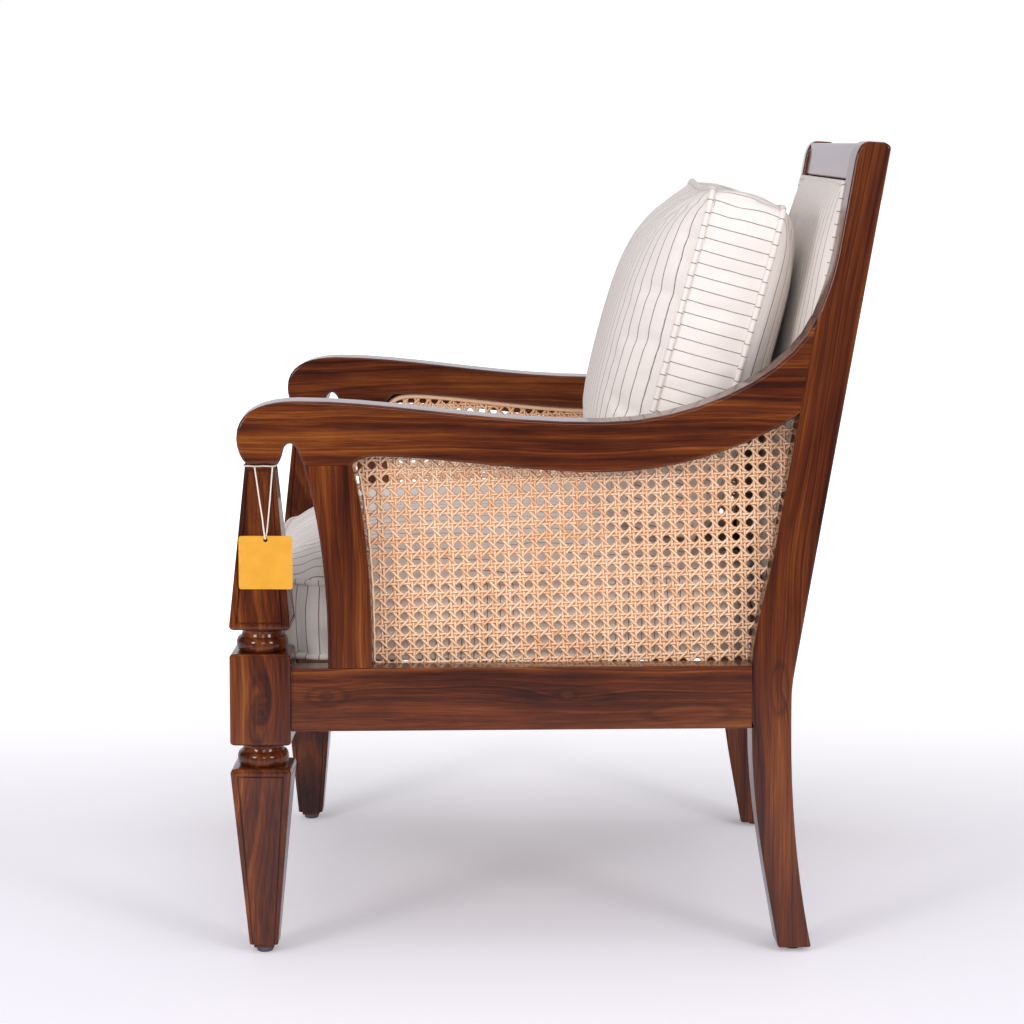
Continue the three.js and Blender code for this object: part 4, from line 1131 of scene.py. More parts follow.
@dataclass
class Joinery:
    """The frame's boards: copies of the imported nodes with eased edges, left crisp where two boards meet."""

    shop: Workshop
    steps: int = 3
    meeting: float = 0.0009
    sharp: float = math.radians(28)
    crease: float = math.radians(32)
    level: float = math.radians(0.4)
    stride: float = 0.011
    straight: float = 0.9999
    doubled: float = 1e-5
    looks: tuple[float, ...] = (0.03, 0.25, 0.5, 0.75, 0.97)

    boards: tuple[Board, ...] = (
        Board("arm_left", Grain.LENGTHWISE, (0.31, 0.02, 0.012), 0.0034),
        Board("arm_right", Grain.LENGTHWISE, (1.72, 0.11, 0.04), 0.0034),
        Board("arm_stump_left", Grain.UPRIGHT, (2.1, 0.34, 0.03), 0.0024),
        Board("arm_stump_right", Grain.UPRIGHT, (2.9, 0.42, 0.08), 0.0024),
        Board("side_rail_left", Grain.LENGTHWISE, (3.3, 0.22, 0.05), 0.0016, (
            Knot((0.01, -0.31, 0.302), 0.052, 0.011, 0.012, 0.0045),
            Knot((-0.262, -0.34, 0.302), 0.024, 0.011, 0.008, 0.003),
            Knot((0.15, -0.31, 0.279), 0.05, 0.012, -0.01, 0.0),
        )),
        Board("side_rail_right", Grain.LENGTHWISE, (4.4, 0.5, 0.02), 0.0016),
        Board("front_rail", Grain.CROSSWISE, (5.1, 0.61, 0.03), 0.0016),
        Board("rear_rail", Grain.CROSSWISE, (5.9, 0.72, 0.03), 0.0016),
        Board("crest_rail", Grain.CROSSWISE, (6.6, 0.83, 0.07), 0.0022),
        Board("lower_back_rail", Grain.CROSSWISE, (7.7, 0.94, 0.05), 0.0018),
        Board("rear_leg_left", Grain.RAKED, (8.3, 0.15, 0.07), 0.003, (
            Knot((0.252, -0.30, 0.307), 0.03, 0.01, 0.009, 0.0),
        )),
        Board("rear_leg_right", Grain.RAKED, (9.2, 0.27, 0.09), 0.003),
    )

    def build(self) -> None:
        """Finishes every board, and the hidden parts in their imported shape."""
        trees = self.neighbours()
        for board in self.boards:
            mesh = self.eased(board, [tree for name, tree in trees.items() if name != board.node])
            piece = link(board.node + "_timber", mesh)
            material = self.shop.timber.finish("teak_" + board.node, board.grain, board.shift, board.knots)
            self.shop.fit(piece, material, "chair_frame", "wood", board.node)
            flatten_shading(piece)
        crosswise = PlainTimber().finish("softwood_crosswise", Grain.CROSSWISE)
        hidden = {
            "seat_cleat": PlainTimber().finish("softwood_lengthwise", Grain.LENGTHWISE),
            "seat_slat": crosswise,
            "back_board": crosswise,
            "corner_block": crosswise,
            "screw": self.shop.steel,
            "glide": self.shop.steel,
            "foot_pad": self.shop.rubber,
        }
        for name in self.shop.frame["nodes"]:
            for word, material in hidden.items():
                if word in name:
                    self.shop.paint_node(name, material)

    def neighbours(self) -> dict[str, BVHTree]:
        """Makes a search tree of each packed timber node.

        Returns:
            The trees by name.
        """
        trees = {}
        for name, node in self.shop.frame["nodes"].items():
            if any(word in name for word in ("arm", "rail", "leg", "stump", "crest")):
                points = [vertex.co for vertex in node.data.vertices]
                faces = [tuple(face.vertices) for face in node.data.polygons]
                trees[name] = BVHTree.FromPolygons(points, faces)
        return trees

    def eased(self, board: Board, others: Sequence[BVHTree]) -> bpy.types.Mesh:
        """A copy of the node's mesh whose free outer edges are rounded.

        An edge is rounded where its faces turn by more than the sharp angle, it stands out, and no other
        board touches it. One that is touched along a part of its length is first cut into short strides.

        Args:
            board: The board.
            others: Search trees of the other boards.

        Returns:
            The new mesh.
        """
        work = bmesh.new()
        work.from_mesh(self.shop.node(board.node).data)
        bmesh.ops.remove_doubles(work, verts=work.verts, dist=self.doubled)
        bmesh.ops.dissolve_limit(work, angle_limit=self.level, verts=work.verts, edges=work.edges)
        for edge in [edge for edge in work.edges if self.stands_out(edge)]:
            here, there = edge.verts
            touched = {self.meets(here.co.lerp(there.co, share), others) for share in self.looks}
            if len(touched) > 1:
                self.cut(edge, int(edge.calc_length() // self.stride))
        free = [
            edge for edge in work.edges
            if self.stands_out(edge) and not self.meets((edge.verts[0].co + edge.verts[1].co) / 2, others)
        ]
        bmesh.ops.bevel(
            work,
            geom=free,
            offset=board.edge,
            offset_type="OFFSET",
            segments=self.steps,
            profile=0.5,
            affect="EDGES",
            clamp_overlap=False,
        )
        for face in work.faces:
            face.smooth = True
        mesh = bpy.data.meshes.new(board.node + "_timber")
        work.to_mesh(mesh)
        work.free()
        mesh.set_sharp_from_angle(angle=self.crease)
        return mesh

    def cut(self, edge: bmesh.types.BMEdge, strides: int) -> None:
        """Cuts an edge into equal strides.

        Args:
            edge: The edge.
            strides: How many to make.
        """
        here, there = edge.verts
        for left in range(strides, 1, -1):
            start = here if here in edge.verts else there
            _, middle = bmesh.utils.edge_split(edge, start, 1 / left)
            run = (middle.co - start.co).normalized()
            onward = [item for item in middle.link_edges if item.other_vert(middle) is not start]
            ways = [(item.other_vert(middle).co - middle.co).normalized() for item in onward]
            edge = next(item for item, way in zip(onward, ways) if run.dot(way) > self.straight)
            here = middle

    def stands_out(self, edge: bmesh.types.BMEdge) -> bool:
        """Whether an edge is an outer corner."""
        return len(edge.link_faces) == 2 and edge.calc_face_angle_signed(0.0) > self.sharp

    def meets(self, point: Vector, others: Sequence[BVHTree]) -> bool:
        """Whether another board is within reach of a point."""
        return any(tree.find_nearest(point, self.meeting)[0] is not None for tree in others)


@dataclass
class FrontLeg:
    """One front leg: a tapered foot, a bead, the square block, a bead and the tapered post."""

    shop: Workshop
    side: Side
    half: float = 0.0345
    foot_half: float = 0.01625
    post_half: float = 0.0165
    foot_end: float = 0.0105
    peg_end: float = 0.006
    foot_top: float = 0.219
    block_low: float = 0.246
    block_high: float = 0.351
    post_low: float = 0.378
    seat: float = 0.5667
    corner: float = 0.0026
    block_corner: float = 0.0034
    block_round: float = 0.0042
    shoulder: float = 0.005
    bead: float = 0.0293
    neck: float = 0.0238
    bead_height: float = 0.017
    neck_hollow: float = 0.0012
    neck_flare: float = 0.003
    lap: float = 0.001
    margin: float = 0.0075
    groove: float = 0.0022
    groove_lip: float = 0.22
    depth: float = 0.0019
    crease: float = math.radians(38)

    def build(self) -> None:
        """Makes the leg as one piece of several turned and tapered skins."""
        skin = Skin()
        self.taper(skin, self.foot_top, self.foot_end, self.foot_half, True)
        self.taper(skin, self.post_low, self.seat, self.post_half, False)
        self.peg(skin)
        self.block(skin)
        self.turning(skin, self.foot_top, self.block_low)
        self.turning(skin, self.block_high, self.post_low)
        node = "front_leg_" + self.side.word
        piece = skin.piece(node + "_timber")
        piece.data.set_sharp_from_angle(angle=self.crease)
        start = self.side.start
        if self.side.way < 0:
            shift = (0.7, 0.05, 0.02)
            knots = (
                Knot((start + 0.002, -0.35, 0.299), 0.03, 0.012, 0.014, 0.004),
                Knot((start - 0.003, -0.35, 0.269), 0.02, 0.01, -0.01, 0.0),
            )
        else:
            shift, knots = (1.4, 0.31, 0.06), ()
        material = self.shop.timber.finish("teak_" + node, Grain.UPRIGHT, shift, knots)
        self.shop.fit(piece, material, "chair_frame", "wood", node)
        flatten_shading(piece)

    @staticmethod
    def squares(
        halves: np.ndarray,
        heights: np.ndarray,
        corner: float,
        shares: np.ndarray,
        sink: np.ndarray | float = 0.0,
    ) -> np.ndarray:
        """Square rings with rounded corners, one for each height.

        On each face a point is (share of the half width, half width less its sink). At a corner the points
        turn on a quarter circle. The four faces are the first one turned by quarters.

        Args:
            halves: Half the width of each ring.
            heights: Its height.
            corner: The corner radius.
            shares: Places across a face, as shares of the half width, from -1 to 1.
            sink: How far each point of a face lies under it, rings by shares.

        Returns:
            Rings by points by 3.
        """
        flat = (halves - corner)[:, None]
        across = np.clip(shares[None, :] * halves[:, None], -flat, flat)
        face = np.stack([across, np.broadcast_to(-halves[:, None] + sink, across.shape)], axis=-1)
        turns = np.linspace(-math.pi / 2, 0, 6)[1:-1]
        bend = np.stack([flat + corner * np.cos(turns), -flat + corner * np.sin(turns)], axis=-1)
        quarter = np.concatenate([face, bend], axis=1)
        ring = np.concatenate([quarter @ spin(angle) for angle in np.arange(4) * math.pi / 2], axis=1)
        rise = np.broadcast_to(heights[:, None, None], (*ring.shape[:2], 1))
        return np.concatenate([ring, rise], axis=-1)

    def capped(self, skin: Skin, rings: np.ndarray) -> None:
        """Adds rings about the leg's centre line as a closed skin with a flat face at each end."""
        centre = np.array([self.side.start, self.side.way * self.shop.leg_y, 0.0])
        skin.grid(rings + centre, closed_columns=True, ends=True)

    def taper(self, skin: Skin, wide: float, narrow: float, end_half: float, runs_out: bool) -> None:
        """A tapered square with a groove round a field on each face.

        The groove is sunk by its depth where a point lies in the band between the field's frame and the
        field. Its sides keep a constant share of the face's width, so they taper with it.

        Args:
            skin: Where to add it.
            wide: Height of the wide end.
            narrow: Height of the narrow end.
            end_half: Half the width at the narrow end.
            runs_out: Whether the groove runs out at the narrow end.
        """
        outer = 1 - self.margin / self.half
        inner = outer - self.groove / self.half
        lip = self.groove_lip * (outer - inner)
        grooves = np.array([inner, inner + lip, outer - lip, outer])
        shares = np.concatenate([[-1], -grooves[::-1], [-0.36, 0, 0.36], grooves, [1]])
        in_groove = np.isin(np.arange(len(shares)), [2, 3, 9, 10])
        within = np.abs(shares) <= outer - 0.5 * lip

        length = abs(narrow - wide)
        band = np.array([0, self.groove_lip, 1 - self.groove_lip, 1.0]) * self.groove
        low_marks = self.margin + band
        high_marks = length - self.margin - band[::-1]
        middle = np.linspace(low_marks[-1], high_marks[0], 7)[1:-1]
        sunk = [1, 2]
        far = len(low_marks) + len(middle)
        if runs_out:
            marks = np.concatenate([low_marks, middle, length - np.array([0.0012, 0.0004, 0])])
            last = len(marks)
        else:
            marks = np.concatenate([low_marks, middle, high_marks, length - np.array([0.0004, 0])])
            last = far + 2
            sunk += [far + 1, far + 2]
        numbers = np.arange(len(marks))
        banded, held = np.isin(numbers, sunk), (numbers >= 1) & (numbers <= last)
        sides = self.half + (end_half - self.half) * (marks - self.shoulder) / (length - self.shoulder)
        if runs_out:
            sides[-2:] -= np.array([0.0004, 0.0012])
        sink = self.depth * ((in_groove & held[:, None]) | (banded[:, None] & within))

        turns = np.linspace(0, math.pi / 2, 6)
        round_half = self.half - self.shoulder * (1 - np.sin(turns))
        dome_half = np.array([0.55, 0.75, 0.9]) * round_half[0]
        dome_rise = np.array([-0.0012, -0.0008, -0.0003])
        way = math.copysign(1, narrow - wide)
        heights = wide + way * np.concatenate([dome_rise, self.shoulder * (1 - np.cos(turns)), marks])
        halves = np.concatenate([dome_half, round_half, sides])
        sinks = np.concatenate([np.zeros((len(halves) - len(marks), len(shares))), sink])
        rings = self.squares(halves, heights, self.corner, shares, sinks)
        self.capped(skin, rings if way > 0 else rings[::-1])

    def peg(self, skin: Skin) -> None:
        """The foot's core, which shows below the frame of its fields.

        Args:
            skin: Where to add it.
        """
        core = self.foot_half * (1 - self.margin / self.half - self.groove / self.half)
        heights = np.array([self.peg_end, self.peg_end + 0.0008, self.foot_end + 0.002])
        halves = np.array([core - 0.0008, core, core])
        self.capped(skin, self.squares(halves, heights, 0.001, np.array([-1, 0, 1.0])))

    def block(self, skin: Skin) -> None:
        """The square block, with softly rounded edges.

        Args:
            skin: Where to add it.
        """
        turns = np.linspace(0, math.pi / 2, 7)
        inset = self.block_round * (1 - np.sin(turns))
        rise = self.block_round * (1 - np.cos(turns))
        heights = np.concatenate([self.block_low + rise, (self.block_high - rise)[::-1]])
        halves = self.half - np.concatenate([inset, inset[::-1]])
        self.capped(skin, self.squares(halves, heights, self.block_corner, np.linspace(-1, 1, 7)))

    def turning(self, skin: Skin, low: float, high: float) -> None:
        """A bead on the square part below, and a hollow neck above it, turned about the leg's centre line.

        The bead's radius is the neck's plus a half ellipse over its height. The neck is drawn in by a
        shallow cosine.

        Args:
            skin: Where to add it.
            low: Height of the bottom.
            high: Height of the top.
        """
        turns = np.linspace(-math.pi / 2, math.pi / 2, 15)
        bead_radius = self.neck + (self.bead - self.neck) * np.cos(turns) ** 0.8
        bead_top = low + self.bead_height
        shares = np.linspace(0, 1, 8)[1:]
        hollow = self.neck_hollow * (np.cos(TURN * shares) - 1) / 2
        neck_radius = self.neck + hollow + self.neck_flare * shares**6
        bead_rise = low + self.bead_height / 2 * (1 + np.sin(turns))
        neck_rise = bead_top + (high - bead_top) * shares
        heights = np.concatenate([[low - self.lap], bead_rise, neck_rise, [high + self.lap]])
        radii = np.concatenate([[self.neck], bead_radius, neck_radius, [neck_radius[-1]]])
        angles = around(64)
        flat = radii[:, None, None] * circle(angles, 1.0, 1.0)
        rise = np.broadcast_to(heights[:, None, None], (*flat.shape[:2], 1))
        self.capped(skin, np.concatenate([flat, rise], axis=-1))


# Cane


@dataclass
class CaneSide:
    """One caned side: the woven sheet, the reed that holds it and the strand along its front edge."""

    shop: Workshop
    side: Side
    pitch: float = 0.0159
    width: float = 0.0033
    thickness: float = 0.00062
    weave_rise: float = 0.00036
    cross_rise: float = 0.00105
    plane: float = 0.0353
    tilt: float = math.radians(1.6)
    reed_width: float = 0.0065
    reed_height: float = 0.004
    reed_plane: float = 0.0366
    edge_radius: float = 0.0013
    edge_plane: float = 0.0327

    def build(self) -> None:
        """Makes the pieces of the side."""
        word = self.side.word
        ring = self.outline("cane_panel_" + word)
        cane = self.shop.cane
        self.shop.fit(self.weave(grown(ring, -0.0015)), cane, "chair_frame", "cane", "cane_panel_" + word)
        self.shop.fit(self.reed(ring), cane, "chair_frame", "cane", "cane_spline_" + word)
        self.shop.fit(self.edge_strand(), cane, "chair_frame", "cane")

    def outline(self, node: str) -> np.ndarray:
        """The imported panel's outer edge in the side's frame, along and up, anticlockwise.

        Its flat outer face's border edges are walked loop by loop, and the longest loop is the edge.

        Args:
            node: The panel's name.

        Returns:
            The edge, smoothed, as many points by 2.
        """
        work = bmesh.new()
        work.from_mesh(self.shop.node(node).data)
        bmesh.ops.remove_doubles(work, verts=work.verts, dist=1e-5)
        work.verts.ensure_lookup_table()
        local = self.side.back(np.array([vertex.co for vertex in work.verts]))
        level = local[:, 1].min() + 0.0002
        flat = {face.index for face in work.faces if all(local[v.index, 1] < level for v in face.verts)}
        border: dict[int, list[int]] = {}
        for edge in work.edges:
            if sum(face.index in flat for face in edge.link_faces) == 1:
                here, there = (vertex.index for vertex in edge.verts)
                border.setdefault(here, []).append(there)
                border.setdefault(there, []).append(here)
        work.free()
        loops = []
        while border:
            loop = [next(iter(border))]
            onward = border.pop(loop[0])
            while onward := [item for item in onward if item in border]:
                loop.append(onward[0])
                onward = border.pop(onward[0])
            loops.append(local[loop][:, [0, 2]])
        ring = max(loops, key=lambda loop: np.ptp(loop[:, 0]))
        after = np.roll(ring, -1, axis=0)
        area = np.sum(ring[:, 0] * after[:, 1] - ring[:, 1] * after[:, 0])
        return softened(evened(ring if area > 0 else ring[::-1], 300, closed=True), 12)

    def placed(self, flat: np.ndarray, inward: np.ndarray) -> np.ndarray:
        """Takes places along and up, and how far inward they lie, to the chair's frame."""
        depth = np.broadcast_to(inward, flat.shape[:-1])
        return self.side.out(np.stack([flat[..., 0], depth, flat[..., 1]], axis=-1))

    def lines(self, low: np.ndarray, high: np.ndarray) -> list[tuple[np.ndarray, np.ndarray]]:
        """The strands' middle lines in pitches, each with its rise and fall in metres.

        Upright pairs stand at i -+ 1/8 and level pairs at j -+ 1/8, and diagonals run at 45 degrees through
        the middles between the pairs. The pairs rise by sin(4 pi t) cos^2(pi t) and the diagonals by
        cos(2 pi t), so that each passes over one and under the next.

        Args:
            low: The sheet's lowest corner.
            high: Its highest corner.

        Returns:
            Each strand's line and its rise.
        """
        gap = 1 / 8
        rights, ups = (
            (np.arange(low[axis], high[axis] + 1)[:, None] + np.array([-3, -1, 1, 3]) * gap).ravel()
            for axis in (0, 1)
        )
        strands = []
        for axis, along, sign in ((0, ups, 1), (1, rights, -1)):
            rise = sign * self.weave_rise * np.sin(2 * TURN * along) * np.cos(math.pi * along) ** 2
            for step in np.arange(low[axis], high[axis] + 1):
                for way in (-1, 1):
                    pair = [np.full_like(along, step + way * gap), along]
                    strands.append((np.stack(pair if axis == 0 else pair[::-1], axis=1), way * rise))
        reach = high - low
        climb = ups - low[1]
        for step in np.arange(-math.ceil(reach[1]), math.ceil(reach[0]) + 1):
            start = low[0] + step + 0.5
            for way, across in ((1, climb + start), (-1, start + reach[1] - climb)):
                rise = way * self.cross_rise * np.cos(TURN * across)
                strands.append((np.stack([across, ups], axis=1), rise))
        return strands

    def weave(self, ring: np.ndarray) -> bpy.types.Object:
        """The six-way cane weave, clipped to a ring: each strand is a flat lens carried along its line.

        Args:
            ring: Where the sheet ends, in the side's frame.

        Returns:
            The sheet.
        """
        middle = ring.mean(axis=0)
        turn = spin(self.tilt)
        cells = (ring - middle) @ turn.T / self.pitch
        lines = self.lines(np.floor(cells.min(axis=0)) - 1, np.ceil(cells.max(axis=0)) + 1)
        path = np.vstack([line for line, _ in lines])
        lift = np.concatenate([rise for _, rise in lines])
        strand = np.concatenate([np.full(len(line), number) for number, (line, _) in enumerate(lines)])
        run = np.concatenate([directions(line) for line, _ in lines])
        travelled = np.concatenate([lengths_along(line) for line, _ in lines]) * self.pitch

        section = np.array([[-0.5, 0.0], [0.0, -0.5], [0.5, 0.0], [0.0, 0.5]])
        square = beside(run @ turn, -1.0)
        flat = (path @ turn * self.pitch + middle)[:, None, :]
        flat = flat + section[None, :, 0:1] * self.width * square[:, None, :]
        inward = self.plane + lift[:, None] + section[None, :, 1] * self.thickness
        points = self.placed(flat, inward).reshape(-1, 3)

        kept = inside(path, cells)
        goes_on = kept[1:] & kept[:-1] & (strand[1:] == strand[:-1])
        here = np.nonzero(goes_on)[0][:, None]
        corner = np.arange(4)[None, :]
        after = (corner + 1) % 4
        walls = [4 * here + corner, 4 * here + after, 4 * (here + 1) + after, 4 * (here + 1) + corner]
        before_it = np.concatenate([[False], goes_on])
        after_it = np.concatenate([goes_on, [False]])
        starts = np.nonzero(after_it & ~before_it)[0][:, None] * 4 + corner
        ends = np.nonzero(before_it & ~after_it)[0][:, None] * 4 + corner[:, ::-1]
        faces = np.concatenate([np.stack(walls, axis=-1).reshape(-1, 4), starts, ends])
        used = np.unique(faces)
        renumbered = np.zeros(len(points), dtype=int)
        renumbered[used] = np.arange(len(used))
        skin = Skin()
        skin.add(points[used], renumbered[faces])
        sheet = skin.piece("cane_sheet_" + self.side.word)
        tones = np.random.default_rng(SEED).random(len(lines))[strand]
        self.note(sheet, travelled, np.array([-1.0, 0.0, 1.0, 0.0]), tones, used)
        return sheet

    @staticmethod
    def note(
        piece: bpy.types.Object,
        lengths: np.ndarray,
        widths: np.ndarray,
        tones: np.ndarray | float,
        used: np.ndarray | slice = slice(None),
    ) -> None:
        """Writes length, width and tone on each vertex, for the cane's finish.

        Args:
            piece: The piece, made of rings along a line.
            lengths: Each ring's place along its strand.
            widths: Each point's place across, from -1 to 1, the same in each ring.
            tones: Each ring's tone, from 0 to 1, or one for all.
            used: Which points the piece has.
        """
        tones = np.broadcast_to(tones, lengths.shape)
        notes = np.stack([
            np.repeat(lengths, len(widths)),
            np.tile(widths, len(lengths)),
            np.repeat(tones, len(widths)),
        ], axis=1)[used]
        layer = piece.data.attributes.new("strand", "FLOAT_VECTOR", "POINT")
        layer.data.foreach_set("vector", notes.astype(np.float32).ravel())

    def reed(self, ring: np.ndarray) -> bpy.types.Object:
        """The half-round reed on the sheet's inner face: a half ellipse carried round just inside the edge.

        Args:
            ring: The sheet's edge.

        Returns:
            The reed.
        """
        route = grown(ring, -(self.reed_width / 2 + 0.0003))
        angles = np.linspace(0, math.pi, 11)
        across = self.reed_width / 2 * np.cos(angles)
        outward = beside(directions(route, closed=True))
        flat = route[:, None, :] + across[None, :, None] * outward[:, None, :]
        skin = Skin()
        skin.grid(self.placed(flat, self.reed_plane + self.reed_height * np.sin(angles)), None, True, True)
        piece = skin.piece("cane_reed_" + self.side.word, merge=False)
        self.note(piece, lengths_along(route), np.cos(angles), 0.7)
        return piece

    def edge_strand(self) -> bpy.types.Object:
        """A thin strand down the front edge of the opening, beside the stump, that turns in at the bottom.

        Returns:
            The strand.
        """
        foot = np.array([[0.136, 0.3346], [0.1315, 0.3349]])
        line = bezier([(0.1286, 0.3362), (0.1292, 0.4379), (0.1220, 0.5071), (0.1120, 0.5550)], 60)
        line = evened(np.vstack([foot, line]), 80)
        square = beside(directions(line), -1.0)
        middle = line + 0.0003 * np.sin(np.arange(len(line)) * 0.9)[:, None] * square
        angles = around(8)
        flat = middle[:, None, :] + self.edge_radius * np.cos(angles)[None, :, None] * square[:, None, :]
        skin = Skin()
        rings = self.placed(flat, self.edge_plane + 0.8 * self.edge_radius * np.sin(angles))
        skin.grid(rings, closed_columns=True, ends=True)
        piece = skin.piece("cane_edge_" + self.side.word, merge=False)
        self.note(piece, lengths_along(line), np.cos(angles), 0.9)
        return piece


# Upholstery


@dataclass(frozen=True)
class Table:
    """A leaning plane to cut cloth on: a middle, a way across the stripes, a way along them, and outwards."""

    middle: Place
    across: Place
    along: Place

    @property
    def outward(self) -> np.ndarray:
        """The way off the plane."""
        return np.cross(self.across, self.along)

    def out(self, points: np.ndarray) -> np.ndarray:
        """Takes places across, along and off the plane to the chair's frame."""
        return np.array(self.middle) + points @ np.stack([self.across, self.along, self.outward])


def leaning(node: bpy.types.Object, lean: float, off: float = 0.0) -> Table:
    """A plane that faces the sitter's way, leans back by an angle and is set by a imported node.

    Args:
        node: The node, whose middle it goes through and on whose rear it lies.
        lean: The angle from upright.
        off: How far in front of the node's rearmost point it lies.

    Returns:
        The plane.
    """
    along = np.array([math.sin(lean), 0.0, math.cos(lean)])
    outward = np.array([-math.cos(lean), 0.0, math.sin(lean)])
    points = np.array([vertex.co for vertex in node.data.vertices])
    height = points @ along
    depth = (points @ outward).min() + off
    middle = (height.min() + height.max()) / 2 * along + depth * outward
    return Table(tuple(middle), (0.0, -1.0, 0.0), tuple(along))


@dataclass(frozen=True)
class Billow:
    """Blows a closed shell of cloth up from inside, with its seams and its hidden faces held."""

    pressure: float = 4.0
    growth: float = 0.018
    frames: int = 20
    most: float = 0.022
    stiffness: float = 12.0
    bending: float = 0.6
    quality: int = 6
    mass: float = 0.25

    def blow(self, piece: bpy.types.Object, held: np.ndarray) -> None:
        """Runs the cloth and keeps its last shape, with each point's travel limited.

        The travel d becomes m tanh(d / m), with m the longest one allowed.

        Args:
            piece: The shell.
            held: How firmly each point is held, from 0 to 1.
        """
        mesh = piece.data
        before = np.zeros(len(mesh.vertices) * 3)
        mesh.vertices.foreach_get("co", before)
        group = piece.vertex_groups.new(name="held")
        for level in np.unique(held.round(1)):
            group.add(np.nonzero(held.round(1) == level)[0].tolist(), float(level), "REPLACE")
        cloth = piece.modifiers.new("cloth", "CLOTH")
        settings = cloth.settings
        settings.quality = self.quality
        settings.mass = self.mass
        settings.tension_stiffness = self.stiffness
        settings.compression_stiffness = self.stiffness
        settings.shear_stiffness = self.stiffness / 3
        settings.bending_stiffness = self.bending
        settings.use_pressure = True
        settings.uniform_pressure_force = self.pressure
        settings.vertex_group_mass = "held"
        settings.shrink_min = -self.growth
        settings.effector_weights.gravity = 0.0
        cloth.collision_settings.use_collision = False
        cloth.point_cache.frame_start = 1
        cloth.point_cache.frame_end = self.frames
        scene = bpy.context.scene
        for frame in range(1, self.frames + 1):
            scene.frame_set(frame)
        shape = piece.evaluated_get(bpy.context.evaluated_depsgraph_get()).data
        after = np.zeros_like(before)
        shape.vertices.foreach_get("co", after)
        travel = (after - before).reshape(-1, 3)
        length = np.linalg.norm(travel, axis=1, keepdims=True)
        share = self.most * np.tanh(length / self.most) / np.maximum(length, 1e-9)
        log.info("%s moved by %.1f mm at most", piece.name, length.max() * 1000)
        piece.modifiers.remove(cloth)
        piece.vertex_groups.clear()
        scene.frame_set(1)
        mesh.vertices.foreach_set("co", before + (travel * share).ravel())
        mesh.update()


def pillow_steps(count: int) -> np.ndarray:
    """Places from -1 to 1 that lie closer together at the ends: 1.3t - 0.3t^3."""
    share = np.linspace(-1, 1, count)
    return 1.3 * share - 0.3 * share**3


